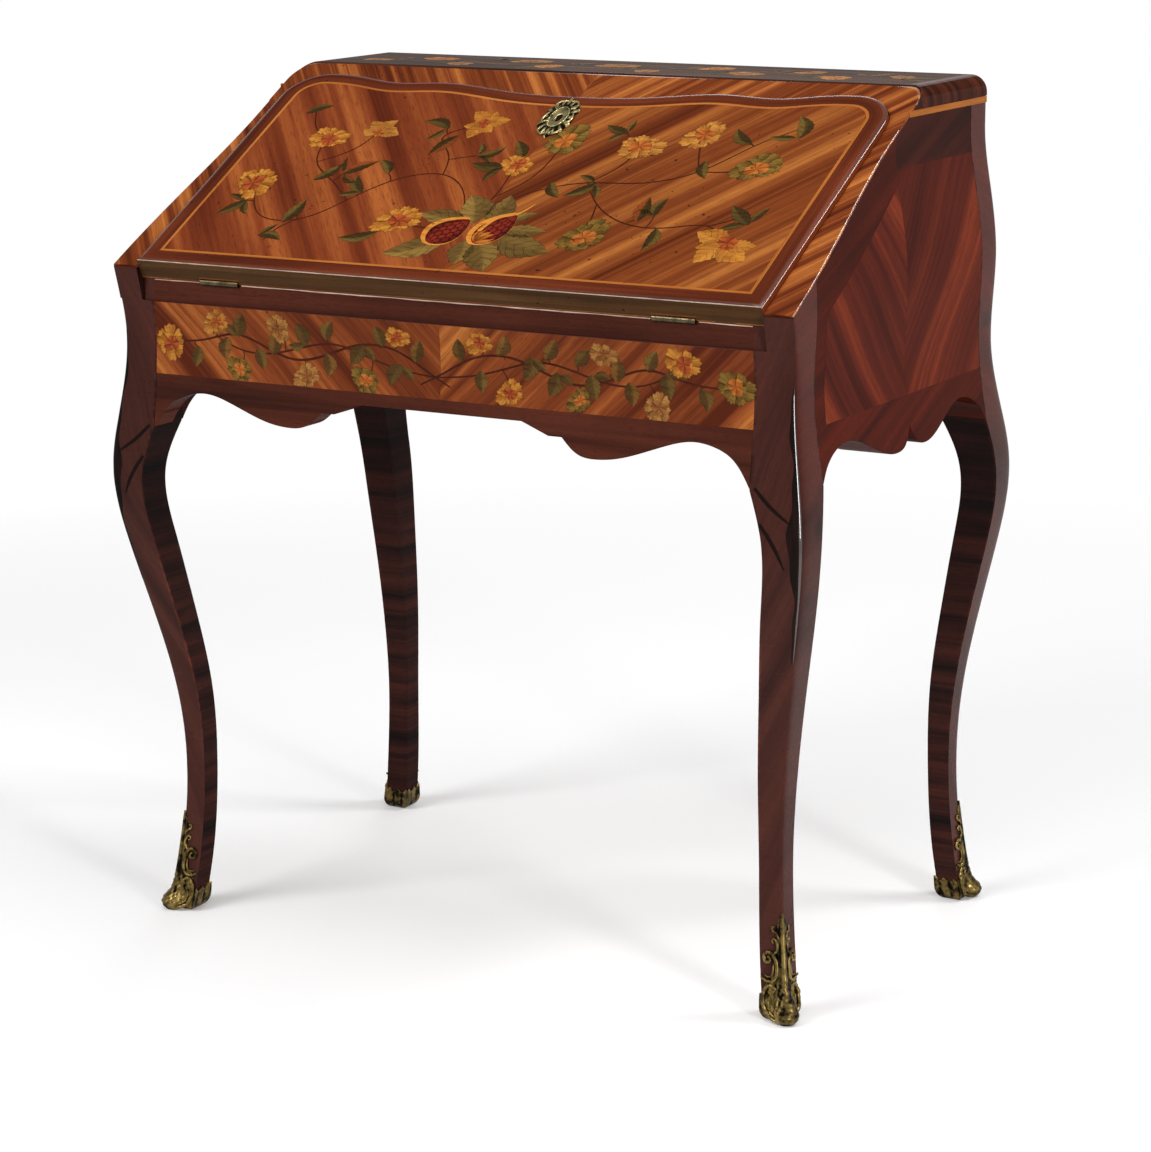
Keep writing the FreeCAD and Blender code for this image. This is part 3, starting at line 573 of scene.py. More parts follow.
class Effects:
    """Node groups that several finishes share, each made once."""

    colours: tuple[str, ...] = ("Color", "Dark", "Middle", "Light", "Bright", "Grime")

    def __init__(self) -> None:
        """Builds the groups."""
        self.figure = self.wood_figure()
        self.polish = self.old_polish()
        self.casting = self.cast_metal()

    def begin(self, name: str, inputs: str, outputs: str) -> tuple[Graph, dict, bpy.types.Node]:
        """Starts a group.

        Args:
            name: its name.
            inputs: names of its inputs.
            outputs: names of its outputs.
        Returns:
            Its graph, its input sockets by name and its output node.
        """
        tree = bpy.data.node_groups.new(name, "ShaderNodeTree")
        for way, labels in (("INPUT", inputs), ("OUTPUT", outputs)):
            for label in labels.split():
                kind = "Vector" if label == "Vector" else "Color" if label in self.colours else "Float"
                tree.interface.new_socket(name=label, in_out=way, socket_type="NodeSocket" + kind)
        entry = tree.nodes.new("NodeGroupInput")
        return Graph(tree), {socket.name: socket for socket in entry.outputs}, tree.nodes.new("NodeGroupOutput")

    def wood_figure(self) -> bpy.types.NodeTree:
        """Stripes along the grain: broad bands, narrow lines and pores, each a noise drawn out along the grain.

        Returns:
            The group.
        """
        graph, given, out = self.begin("wood_figure", "Vector Along Across Contrast Streaks Dark Middle Light",
                                       "Color Height")
        vector = graph.stretched(given["Vector"], given["Along"], given["Across"])
        broad = graph.noise(vector, 1.0, 2.0, 0.5, 0.35)
        lines = graph.noise(graph.stretched(vector, 1.6, 5.5), 1.0, 3.0, 0.6, 0.2)
        pores = graph.noise(graph.stretched(vector, 48.0, 26.0), 1.0, 2.0, 0.6)
        both = graph.math("ADD", graph.math("MULTIPLY", broad, 0.74), graph.math("MULTIPLY", lines, 0.26))
        spread = graph.math("MULTIPLY_ADD", graph.math("SUBTRACT", both, 0.5), given["Contrast"], 0.5)
        wood = graph.mix(graph.span(spread, 0.12, 0.5), given["Dark"], given["Middle"])
        wood = graph.mix(graph.span(spread, 0.5, 0.92), wood, given["Light"])
        wood = graph.mix(graph.span(pores, 0.53, 0.68, 0.0, 0.5), wood, given["Dark"])
        burn = graph.span(graph.noise(graph.stretched(vector, 1.8, 0.75), 1.0, 2.0, 0.55, 0.3), 0.64, 0.7)
        wood = graph.mix(graph.math("MULTIPLY", burn, given["Streaks"]), wood, (0.008, 0.005, 0.004))
        graph.feed(out, {"Color": wood, "Height": graph.math("SUBTRACT", lines, graph.math("MULTIPLY", pores, 0.5))})
        return graph.tree

    def old_polish(self) -> bpy.types.NodeTree:
        """Old polish: soft clouds of darker tone, small dark marks and patches that shine less.

        Returns:
            The group.
        """
        graph, given, out = self.begin("old_polish", "Vector Color Age Shine", "Color Roughness")
        cloud = graph.noise(given["Vector"], 7.0, 3.0, 0.55)
        marks = graph.noise(given["Vector"], 150.0, 1.0, 0.4)
        wipe = graph.noise(graph.stretched(given["Vector"], 14.0, 60.0), 1.0, 3.0, 0.6)
        dark = graph.mix(1.0, given["Color"], (0.42, 0.36, 0.34), "MULTIPLY")
        aged = graph.mix(graph.math("MULTIPLY", graph.span(cloud, 0.45, 0.75), given["Age"]), given["Color"], dark)
        spots = graph.math("MULTIPLY", graph.span(marks, 0.745, 0.775), graph.span(cloud, 0.48, 0.56))
        aged = graph.mix(graph.math("MULTIPLY", spots, 0.85), aged, (0.012, 0.007, 0.006))
        uneven = graph.math("ADD", graph.math("MULTIPLY", cloud, 0.5), wipe)
        gloss = graph.math("MULTIPLY_ADD", uneven, 0.24, given["Shine"])
        graph.feed(out, {"Color": aged, "Roughness": graph.math("SUBTRACT", gloss, 0.16)})
        return graph.tree

    def cast_metal(self) -> bpy.types.NodeTree:
        """Old cast metal: bright where it is rubbed, dark where grime lies, with a grainy skin.

        Returns:
            The group.
        """
        graph, given, out = self.begin("cast_metal", "Vector Bright Grime Hollow Wear", "Color Roughness Height")
        patch = graph.noise(given["Vector"], 95.0, 4.0, 0.6)
        skin = graph.noise(given["Vector"], 620.0, 2.0, 0.5)
        worn = graph.math("MULTIPLY", graph.span(patch, 0.4, 0.68), given["Wear"])
        dirt = graph.math("ADD", worn, given["Hollow"], clamp=True)
        grainy = graph.math("ADD", graph.math("MULTIPLY", patch, 0.6), graph.math("MULTIPLY", skin, 0.4))
        graph.feed(out, {"Color": graph.mix(dirt, given["Bright"], given["Grime"]),
                         "Roughness": graph.math("MULTIPLY_ADD", dirt, 0.34, 0.24), "Height": grainy})
        return graph.tree

    def lay_polish(self, graph: Graph, shader: bpy.types.Node, colour: Socket, age: float, shine: float) -> None:
        """Lays the old polish over a colour and joins both to a shader."""
        done = graph.group(self.polish, Vector=graph.place(), Color=colour, Age=age, Shine=shine)
        graph.feed(shader, {"Base Color": done["Color"], "Roughness": done["Roughness"]})


def start_material(name: str) -> tuple[Material, Graph, bpy.types.Node]:
    """An empty material with its principled shader.

    Args:
        name: name of the material.
    Returns:
        The material, its graph and its shader.
    """
    material = bpy.data.materials.new(name)
    material.use_nodes = True
    material.node_tree.nodes.clear()
    graph = Graph(material.node_tree)
    shader = graph.add("BsdfPrincipled")
    graph.add("OutputMaterial", {"Surface": shader.outputs[0]})
    return material, graph, shader


@dataclass(frozen=True)
class Wood:
    """A polished wood: three tones from 0 to 255, the scale of its figure, and how it shines."""

    name: str
    dark: Rgb
    middle: Rgb
    light: Rgb
    along: float = 2.2
    across: float = 55.0
    contrast: float = 3.0
    age: float = 0.5
    shine: float = 0.2
    coat: float = 0.1
    bump: float = 0.06
    streaks: float = 0.0
    specular: float = 0.0
    coat_rough: float = 0.06
    relief: float = 0.0006

    def make(self, effects: Effects, source: GrainFrom) -> Material:
        """Builds the finish; one on a piece's own map is multiplied by the piece's tint.

        Args:
            effects: the shared node groups.
            source: where the grain's direction comes from.
        Returns:
            The material.
        """
        mapped = source is GrainFrom.UV
        material, graph, shader = start_material(f"{self.name}_{source.name.lower()}" + ("" if mapped else "_plain"))
        if mapped:
            grain = graph.take("UVMap", uv_map="grain")
        else:
            order = {GrainFrom.X: (0, 1, 2), GrainFrom.Z: (2, 0, 1)}.get(source, (1, 2, 0))
            place = graph.place()
            if source is GrainFrom.SLOPE:
                place = graph.take("Mapping", {"Vector": place, "Rotation": (-SLOPE.angle, 0.0, 0.0)})
            parts = graph.add("SeparateXYZ", {0: place}).outputs
            grain = graph.take("CombineXYZ", {k: parts[axis] for k, axis in enumerate(order)})
        figure = graph.group(effects.figure, Vector=grain, Along=self.along, Across=self.across, Contrast=self.contrast,
                             Streaks=self.streaks, Dark=tone(*self.dark), Middle=tone(*self.middle),
                             Light=tone(*self.light))
        colour = graph.mix(1.0, figure["Color"], graph.tint(), "MULTIPLY") if mapped else figure["Color"]
        effects.lay_polish(graph, shader, colour, self.age, self.shine)
        graph.feed(shader, {"Normal": graph.bump(self.bump, self.relief, figure["Height"]), "Coat Weight": self.coat,
                            "Coat Roughness": self.coat_rough, "Specular IOR Level": self.specular})
        return material


@dataclass(frozen=True)
class Inlay:
    """Marquetry woods: the piece's own colour with fine grain, engraved lines cut into it and the polish over it."""

    name: str = "marquetry"
    tones: tuple[Rgb, Rgb, Rgb] = ((0.6, 0.56, 0.52), (0.92, 0.91, 0.9), WHITE)
    ink: Rgb = tone(38, 22, 12)
    cuts: Table = ((1.0, 0.03, 0.075, 0.85), (4.0, 0.06, 0.16, 0.34))
    along: float = 60.0
    across: float = 260.0
    contrast: float = 2.4
    age: float = 0.3
    shine: float = 0.24
    coat: float = 0.1
    coat_rough: float = 0.06

    def make(self, effects: Effects, source: GrainFrom) -> Material:
        """Builds the finish; the map gives the phase of the lines, a cut at each whole number, and how deep they are.

        Args:
            effects: the shared node groups.
            source: the piece's own map.
        Returns:
            The material.
        """
        material, graph, shader = start_material(self.name)
        dark, middle, light = self.tones
        figure = graph.group(effects.figure, Vector=graph.place(), Along=self.along, Across=self.across,
                             Contrast=self.contrast, Dark=dark, Middle=middle, Light=light)
        given = graph.add("SeparateXYZ", {0: graph.take("UVMap", uv_map="grain")}).outputs
        lines = []
        for repeat, keen, soft, depth in self.cuts:
            phase = graph.math("FRACT", graph.math("MULTIPLY_ADD", given[0], repeat, 0.5))
            away = graph.math("ABSOLUTE", graph.math("SUBTRACT", phase, 0.5))
            lines.append(graph.span(away, keen, soft, depth, 0.0))
        cut = graph.math("MULTIPLY", graph.math("MAXIMUM", *lines), given[1])
        colour = graph.mix(cut, graph.mix(1.0, graph.tint(), figure["Color"], "MULTIPLY"), self.ink)
        effects.lay_polish(graph, shader, colour, self.age, self.shine)
        graph.feed(shader, {"Coat Weight": self.coat, "Coat Roughness": self.coat_rough, "Specular IOR Level": 0.0})
        return material


@dataclass(frozen=True)
class Metal:
    """A metal with its bright tone and its grime, from 0 to 255, and how worn it is."""

    name: str
    bright: Rgb
    grime: Rgb
    wear: float = 0.8
    bump: float = 0.25
    relief: float = 0.0004

    def make(self, effects: Effects, source: GrainFrom) -> Material:
        """Builds the finish; one on a piece's own map takes its hollows from the piece's tint.

        Args:
            effects: the shared node groups.
            source: the piece's own map, or no grain.
        Returns:
            The material.
        """
        mapped = source is GrainFrom.UV
        material, graph, shader = start_material(self.name + ("_cast" if mapped else ""))
        hollow = graph.math("SUBTRACT", 1.0, graph.tint("Fac"), clamp=True) if mapped else 0.0
        cast = graph.group(effects.casting, Vector=graph.place(), Bright=tone(*self.bright), Grime=tone(*self.grime),
                           Hollow=hollow, Wear=self.wear)
        graph.feed(shader, {"Base Color": cast["Color"], "Roughness": cast["Roughness"], "Metallic": 1.0,
                            "Normal": graph.bump(self.bump, self.relief, cast["Height"])})
        return material


@dataclass(frozen=True)
class Leather:
    """Writing leather: pebbled, rubbed in the middle, with a gilt line tooled round its border."""

    name: str = "writing_leather"
    deep: Rgb = tone(44, 28, 18)
    worn: Rgb = tone(98, 64, 38)
    gilt: Rgb = tone(176, 138, 70)
    border: Point = (0.281, 0.114)
    middle: float = 0.2818
    line: float = 0.0013
    pebbles: float = 900.0
    bump: float = 0.25
    relief: float = 0.0005

    def make(self, effects: Effects, source: GrainFrom) -> Material:
        """Builds the finish; the gilt line is where the larger way past the border, across or up the slope, is naught.

        Args:
            effects: the shared node groups, of which it needs none.
            source: no grain.
        Returns:
            The material.
        """
        material, graph, shader = start_material(self.name)
        place = graph.place()
        pebble = graph.take("TexVoronoi", {"Vector": place, "Scale": self.pebbles}, "Distance")
        cloud = graph.noise(place, 9.0, 4.0, 0.6)
        across = graph.take("SeparateXYZ", {0: place})
        up = graph.take("VectorMath", {0: place, 1: (0.0, math.cos(SLOPE.angle), math.sin(SLOPE.angle))}, "Value",
                        operation="DOT_PRODUCT")
        past = [graph.math("SUBTRACT", graph.math("ABSOLUTE", way), half)
                for way, half in zip((across, graph.math("SUBTRACT", up, self.middle)), self.border)]
        line = graph.math("LESS_THAN", graph.math("ABSOLUTE", graph.math("MAXIMUM", *past)), self.line)
        hide = graph.mix(graph.span(cloud, 0.36, 0.7), self.deep, self.worn)
        graph.feed(shader, {"Base Color": graph.mix(graph.math("MULTIPLY", line, 0.8), hide, self.gilt),
                            "Roughness": graph.span(cloud, 0.3, 0.7, 0.42, 0.62),
                            "Normal": graph.bump(self.bump, self.relief, pebble)})
        return material


FINISHES: tuple[Union[Wood, Metal, Inlay, Leather], ...] = (
    Wood("tulipwood", (80, 30, 15), (122, 56, 28), (164, 90, 43), 0.9, 24.0, 2.9, 0.2, 0.26),
    Wood("golden_tulipwood", (82, 34, 15), (124, 62, 28), (172, 104, 48), 0.8, 34.0, 2.7, 0.2, 0.26),
    Wood("frieze_tulipwood", (84, 34, 17), (138, 69, 33), (192, 116, 54), 0.9, 24.0, 3.4, 0.2, 0.26),
    Wood("banding_tulipwood", (80, 33, 16), (124, 60, 28), (184, 110, 52), 1.4, 84.0, 2.7, 0.25, 0.2),
    # Lighter copy of the banding for its rounded arrises: painted highlight in its tones, real gloss in its coat.
    Wood("banding_arris", (96, 50, 28), (150, 84, 46), (204, 136, 76), 1.4, 84.0, 2.7, 0.25, 0.1, 1.0,
         specular=0.1),
    # Darker, redder copy of tulipwood for the case's sides: the darker tones are painted shade.
    Wood("side_tulipwood", (64, 19, 10), (94, 33, 17), (136, 55, 28), 0.9, 26.0, 2.5, 0.3, 0.3),
    Wood("purplewood", (50, 23, 16), (76, 36, 25), (94, 46, 31), 2.0, 40.0, 2.0, 0.4, 0.26, streaks=0.3),
    # Darker copy of purplewood for the side boards: painted shade.
    Wood("side_purplewood", (38, 15, 10), (57, 22, 14), (74, 30, 19), 2.0, 40.0, 2.0, 0.4, 0.26,
         streaks=0.3),
    Wood("edging_wood", (62, 25, 14), (90, 39, 21), (116, 54, 30), 3.0, 60.0, 2.0, 0.3, 0.2),
    Wood("edging_arris", (62, 25, 14), (90, 39, 21), (116, 54, 30), 3.0, 60.0, 2.0, 0.3, 0.17, 1.0,
         specular=0.1, coat_rough=0.22),
    # Black finish: wear and streaks on the legs, and painted shade in the keyhole.
    Wood("black_wear", (14, 9, 8), (26, 15, 13), (42, 24, 19), 8.0, 90.0, 2.0, 0.4, 0.3),
    Wood("worn_arris", (22, 14, 12), (40, 24, 20), (58, 34, 26), 8.0, 90.0, 2.0, 0.4, 0.02, 1.0,
         specular=0.6),
    # Pale finish: painted highlight on the arrises of the hinge rail and of the fall's foot.
    Wood("pale_arris", (150, 118, 92), (196, 170, 146), (228, 212, 194), 30.0, 300.0, 2.4, 0.4, 0.1, 0.6,
         specular=0.4),
    Wood("leg_wood", (46, 22, 18), (70, 35, 28), (86, 45, 35), 3.0, 26.0, 1.7, 0.4, 0.24, streaks=0.6,
         specular=0.03),
    # Darker than leg_wood: partly painted shade on the inward faces of the legs.
    Wood("leg_inside", (20, 12, 12), (50, 25, 21), (74, 36, 28), 3.0, 60.0, 2.4, 0.6, 0.3, streaks=0.6),
    Wood("stringing", (142, 76, 31), (174, 104, 46), (194, 126, 60), 6.0, 220.0, 1.6, 0.25, 0.24),
    Wood("fall_foot", (58, 38, 20), (84, 56, 30), (104, 72, 40), 3.0, 90.0, 2.0, 0.4, 0.26),
    Wood("top_wood", (40, 24, 17), (66, 41, 28), (92, 60, 42), 2.4, 60.0, 2.4, 0.5, 0.2),
    Wood("oak", (92, 58, 30), (138, 92, 50), (172, 124, 74), 3.5, 120.0, 2.2, 0.5, 0.46, 0.02, 0.12),
    Wood("nest_wood", (88, 38, 18), (132, 66, 32), (172, 102, 52), 2.0, 50.0, 2.4, 0.4, 0.3),
    Metal("gilt_brass", (140, 118, 68), (18, 15, 11), 0.9),
    Metal("pale_brass", (226, 208, 146), (20, 16, 8), 0.85, 0.5),
    Metal("brass", (92, 82, 60), (44, 36, 24), 0.8, 0.12),
    Metal("steel", (150, 148, 144), (58, 50, 44), 0.7, 0.15),
    Inlay(), Leather())


class Store:
    """The finishes of the desk, each made the first time that it is asked for."""

    def __init__(self) -> None:
        """Makes the shared effects and an empty shelf."""
        self.effects = Effects()
        self.kinds = {finish.name: finish for finish in FINISHES}
        self.shelf: dict[tuple[str, GrainFrom], Material] = {}

    def finish(self, name: str, source: GrainFrom = GrainFrom.UV) -> Material:
        """Gives a finish.

        Args:
            name: its name.
            source: where its grain comes from.
        Returns:
            The material.
        """
        key = (name, source)
        if key not in self.shelf:
            self.shelf[key] = self.kinds[name].make(self.effects, source)
        return self.shelf[key]


def soften(piece: bpy.types.Object, width: float, degrees: float) -> None:
    """Rounds an object's edges that are sharper than an angle."""
    soft = piece.modifiers.new("arris", "BEVEL")
    soft.width, soft.segments, soft.limit_method, soft.angle_limit = width * MM, 2, "ANGLE", math.radians(degrees)


@dataclass
class Bench:
    """Turns shells into pieces of the desk, rides them on their bodies and reports each one."""

    store: Store
    weld: float = 0.01
    bevel_angle: float = 42.0
    arris_tilt: Point = (0.2, 0.985)

    def place(self, name: str, shell: Shell, finish: str, slot: str, stands_for: Sequence[str] = (),
              body: str = "desk", closed: bool = False, bevel: float = 0.0, sharp: float = 38.0,
              inside: Optional[tuple[Shell, str]] = None, arris: str = "") -> None:
        """Makes a piece.

        Args:
            name: its name.
            shell: its mesh.
            finish: name of its finish.
            slot: slot of its finish; not used.
            stands_for: nodes that it replaces.
            body: the body that it rides on.
            closed: joins the seams and turns the faces outwards.
            bevel: width of the rounding on its sharp edges.
            sharp: edges with a larger angle stay sharp.
            inside: more of its mesh, with another finish.
            arris: finish of the faces that are tilted to the slope, as those of a rounded arris are.
        """
        plain_faces = sum(len(block) for block in shell.faces)
        shell = Shell.joined((shell, inside[0])) if inside else shell
        mesh = shell.mesh(name, MM)
        corner = np.empty(len(mesh.loops), dtype=np.int32)
        mesh.loops.foreach_get("vertex_index", corner)
        mesh.uv_layers.new(name="grain").data.foreach_set("uv", (shell.grain[corner] * MM).astype(np.float32).ravel())
        colour = np.concatenate((shell.tint, np.ones((len(shell.points), 1))), axis=1).astype(np.float32)
        mesh.color_attributes.new("tint", "FLOAT_COLOR", "POINT").data.foreach_set("color", colour.ravel())
        mesh.materials.append(self.store.finish(finish))
        if inside:
            mesh.materials.append(self.store.finish(inside[1]))
            mesh.polygons.foreach_set("material_index", (np.arange(len(mesh.polygons)) >= plain_faces).astype(np.int32))
        if closed:
            work = bmesh.new()
            work.from_mesh(mesh)
            bmesh.ops.remove_doubles(work, verts=work.verts, dist=self.weld * MM)
            bmesh.ops.recalc_face_normals(work, faces=work.faces)
            work.to_mesh(mesh)
            work.free()
        if arris:
            normal = np.empty((len(mesh.polygons), 3), dtype=np.float32)
            mesh.polygons.foreach_get("normal", normal.ravel())
            tilt, (low, high) = normal @ SLOPE.normal, self.arris_tilt
            mesh.materials.append(self.store.finish(arris))
            mesh.polygons.foreach_set("material_index", ((tilt > low) & (tilt < high)).astype(np.int32))
        mesh.polygons.foreach_set("use_smooth", np.ones(len(mesh.polygons), dtype=bool))
        mesh.set_sharp_from_angle(angle=math.radians(sharp))
        piece = bpy.data.objects.new(name, mesh)
        bpy.context.scene.collection.objects.link(piece)
        if bevel:
            soften(piece, bevel, self.bevel_angle)
        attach(piece, body)
        if stands_for:
            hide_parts(*stands_for)
        log.info("%s: %d faces on %s", name, len(mesh.polygons), body)


# Legs and sabots

class Corner(Enum):
    """The four corners of the desk: the way that each one lies across and in depth."""

    FRONT_LEFT = (-1.0, -1.0)
    FRONT_RIGHT = (1.0, -1.0)
    BACK_LEFT = (-1.0, 1.0)
    BACK_RIGHT = (1.0, 1.0)

    @property
    def label(self) -> str:
        """The corner's name."""
        return self.name.lower()

    @property
    def front(self) -> bool:
        """Whether the corner is at the front."""
        return self.value[1] < 0


@dataclass
class CabrioleLeg:
    """One leg with its post: two serpentine faces that meet in a soft arris, and two plain faces inside."""

    corner: Corner
    sole: float = 14.0
    rail_front: float = 252.5
    lid_sunk: float = 16.3
    deepest: float = 265.32
    keen: float = 2.5
    arris: Table = ((0, 165, 330, 480, 560, 660, 730, 900), (2.0, 2.5, 5.0, 8.0, 8.0, 5.0, 2.5, 2.0))
    worn: Point = (380.0, 658.0)
    wear: tuple[float, ...] = (12.0, 1.0, 2.4, 0.1)
    rub: tuple[float, ...] = (1.6, 2.4, 0.3, 0.16)
    side_tint: Rgb = (1.4, 0.84, 0.62)
    streaks: tuple[Points, ...] = (((49, 558), (34, 542), (12, 526)), ((46, 524), (32, 504), (19, 480)))
    tall_steps: int = 170
    wide_steps: int = 41

    @property
    def share(self) -> Array:
        """Shares of the way to both sides of an arris, closer together near it."""
        even = columns(-1, 1, self.wide_steps)
        return np.sign(even) * np.abs(even) ** 1.7

    @property
    def slant(self) -> float:
        """Angle of the veneer's grain."""
        return 38.0 if self.corner.front else 30.0

    def reach_y(self, z: Array, inner: bool = False) -> Array:
        """Distance of the leg's front or back face from the desk's middle."""
        reach = LINES.reach(("inner_" if inner else "") + ("front" if self.corner.front else "back"), z)
        return np.minimum(reach, self.deepest)

    def to_desk(self, x: Array, y: Array, z: Array) -> Array:
        """Points of this corner given as distances outwards."""
        across, depth = self.corner.value
        return stacked(x * across, y * depth, z)

    @staticmethod
    def round_corner(way: Array, before: Array, after: Array, softness: Array) -> tuple[Array, Array]:
        """Path round a right angle: each leg is half of the way plus its root with the softness, set to end true.

        Args:
            way: distance from the angle, minus before it.
            before: length before the angle.
            after: length after it.
            softness: how round the angle is.
        Returns:
            How far the path has gone back from the angle along each leg.
        """
        def soft(value: Array) -> Array:
            """Half of a value plus its root with the softness."""
            return 0.5 * (np.sqrt(value ** 2 + softness ** 2) + value)

        first = (soft(-way) - soft(-after)) * before / (soft(before) - soft(-after))
        second = (soft(way) - soft(-before)) * after / (soft(after) - soft(-before))
        return first, second

    def outward(self, way: Array) -> Array:
        """Direction in which the outer faces look at a way from the arris, as distances outwards."""
        root = np.sqrt(way ** 2 + self.keen ** 2)
        return unit(stacked(1 + way / root, 1 - way / root, 0 * way))

    def skin(self, way: Array, z: Array, lift: Array) -> Array:
        """Points on the outer faces, half of a root back from the arris: less the way across, plus it in depth.

        Args:
            way: the way from the arris, plus on the side and minus on the front.
            z: heights.
            lift: height over the faces.
        Returns:
            The points.
        """
        way, z = np.broadcast_arrays(way, z)
        root, out = np.sqrt(way ** 2 + self.keen ** 2), self.outward(way)
        return self.to_desk(LINES.reach("side", z) - 0.5 * (root - way) + lift * out[..., 0],
                            self.reach_y(z) - 0.5 * (root + way) + lift * out[..., 1], z)

    def softness(self, z: Array) -> Array:
        """Roundness of the outer arris: keen at the ankle, full at the knee, keen again at the top."""
        return np.interp(z, *self.arris)

    def warmth(self, way: Array, z: Array) -> Array:
        """Redder tint of the side face above the knee."""
        return blend(WHITE, self.side_tint, ramp(way, 0.0, 6.0) * ramp(z, 500, 620))

    def outer_strip(self, z: Array, x: tuple, y: tuple, softness: Array) -> tuple[Array, Array, Array]:
        """Strip of a bar's section that runs round its outer arris.

        Args:
            z: heights as rows and columns.
            x: inner and outer line across.
            y: inner and outer line in depth.
            softness: how round the arris is.
        Returns:
            Its points, the way of each one from the arris, and how far each has gone back from it.
        """
        wide, deep = x[1] - x[0], y[1] - y[0]
        way = np.where(self.share < 0, self.share * wide, self.share * deep)
        back_x, back_y = self.round_corner(way, wide, deep, softness)
        return self.to_desk(x[1] - back_x, y[1] - back_y, z), way, back_x + back_y

    def section_shell(self, top: float) -> tuple[Shell, Shell]:
        """Closed bar between the leg's four lines: an outer strip round the arris, an inner strip, and both ends.

        Args:
            top: height of its upper end.
        Returns:
            The outer strip with its ends, and the inner strip.
        """
        z = np.repeat(rows(self.sole, top, self.tall_steps), self.wide_steps, axis=1)
        x_in, x_out = LINES.reach("inner_side", z), LINES.reach("side", z)
        y_in, y_out = self.reach_y(z, True), self.reach_y(z)
        outer, way, back = self.outer_strip(z, (x_in, x_out), (y_in, y_out), self.softness(z))
        edge = np.exp(-back / 9.0) * ramp(z, 330, 470) * (1 - ramp(z, 640, 690))
        tint = blend(WHITE, (0.34, 0.3, 0.3), edge * 0.8) * self.warmth(way, z)
        wide, deep = x_out - x_in, y_out - y_in
        way = np.where(self.share < 0, self.share * deep, self.share * wide)
        go_y, go_x = self.round_corner(way, deep, wide, 1.2)
        inner = self.to_desk(x_in + go_x, y_in + go_y, z)
        near = bell(np.minimum(np.abs(way + deep), np.abs(way - wide)), 1.6)
        rubbed = blend(WHITE, (3.2, 2.6, 1.9), near * 0.55 * ramp(z, 150, 260) * (1 - ramp(z, 520, 570)))
        # Painted shade: the inner faces grow darker towards the top, under the case.
        shade = rubbed * (1.0 - 0.6 * ramp(z, 360, 470))[..., None]
        foot, head = np.concatenate((outer[0], inner[0])), np.concatenate((outer[-1], inner[-1]))
        skin = Shell.grid(outer, turned(z + np.abs(way), way, self.slant), tint)
        return Shell.joined((skin, Shell.cap(foot), Shell.cap(head[::-1]))), Shell.grid(inner, stacked(way, z), shade)

    def post_bar(self, x_in: float, drop: float, limit: Optional[Point] = None) -> tuple[Shell, Shell]:
        """Part of a front post over the rail's notch, cut off by the slope: a plain bar with a soft arris.

        Its top is found in steps: a height gives the depth of the front there, which gives the slope's height.

        Args:
            x_in: inner side.
            drop: depth of the cut under the slope.
            limit: outer side and front, or none for the case's own lines.
        Returns:
            The outer strip with its ends, and the inner strip.
        """
        y_in, foot = LINES.front_post_back, LINES.rail_head
        high = np.full((1, self.wide_steps), foot)
        for _ in range(8):
            y_out = limit[1] if limit else self.reach_y(high)
            high = SLOPE.height(np.maximum(self.share, 0.0) * (y_out - y_in) - y_out, drop)
        z = foot - 0.04 + rows(0, 1, 24) * (high - foot)
        x_out, y_out = limit or (LINES.reach("side", z), self.reach_y(z))
        outer, way, _ = self.outer_strip(z, (x_in, x_out), (y_in, y_out), 2.0)
        heel = self.to_desk(x_in, y_in, np.array((z[0, 0], SLOPE.height(-y_in, drop))))
        low, head = np.concatenate((outer[0], heel[:1])), np.concatenate((outer[-1], heel[1:]))
        strip = Shell.grid(outer, turned(z + np.abs(way), way, self.slant), self.warmth(way, z))
        inner = np.linspace(*heel, len(outer))
        sides = [Shell.grid(np.stack((outer[:, edge], inner), axis=1)) for edge in (0, -1)]
        return Shell.joined((strip, Shell.cap(low), Shell.cap(head[::-1]))), Shell.joined(sides)

    def build(self) -> tuple[Shell, Shell]:
        """The leg: at the back one bar, at the front a bar up to the notch for the rail and two bars over it.

        Returns:
            The leg's outer faces with its ends, and its inner faces.
        """
        parts = [self.section_shell(LINES.rail_head if self.corner.front else LINES.top_underside)]
        if self.corner.front:
            parts += [self.post_bar(LINES.fall_side, LINES.banding),
                      self.post_bar(LINES.inner_half, self.lid_sunk, (LINES.fall_side, self.rail_front))]
        outer, inner = zip(*parts)
        return Shell.joined(outer), Shell.joined(inner)

    def worn_arris(self, left: float, right: float, wander: float, lift: float) -> Shell:
        """Rubbed strip round the outer arris from waist to knee: the leg's own rounding, lifted, one edge wandering.

        Args:
            left: how far it reaches over the front.
            right: how far it reaches over the side.
            wander: swing of its left edge, two sines of the height.
            lift: height over the veneer.
        Returns:
            The strip.
        """
        low, high = self.worn
        z = rows(low, high, 140)
        fade = np.sin((z - low) / (high - low) * math.pi) ** 0.5
        swell = 0.55 + 0.6 * bell(z - 505.0, 55.0)
        start = -(left * swell + wander * (np.sin(z / 19.0) + 0.6 * np.sin(z / 7.3))) * fade
        way = start + columns(0, 1, 15) * (right * fade - start)
        x, y = LINES.reach("side", z), self.reach_y(z)
        wide, deep = x - LINES.reach("inner_side", z), y - self.reach_y(z, True)
        back_x, back_y = self.round_corner(way, wide, deep, self.softness(z))
        points = self.to_desk(x - back_x + lift, y - back_y + lift, z)
        return Shell.grid(points, stacked(z, way)).facing((self.corner.value[0], -1.0, 0.0))

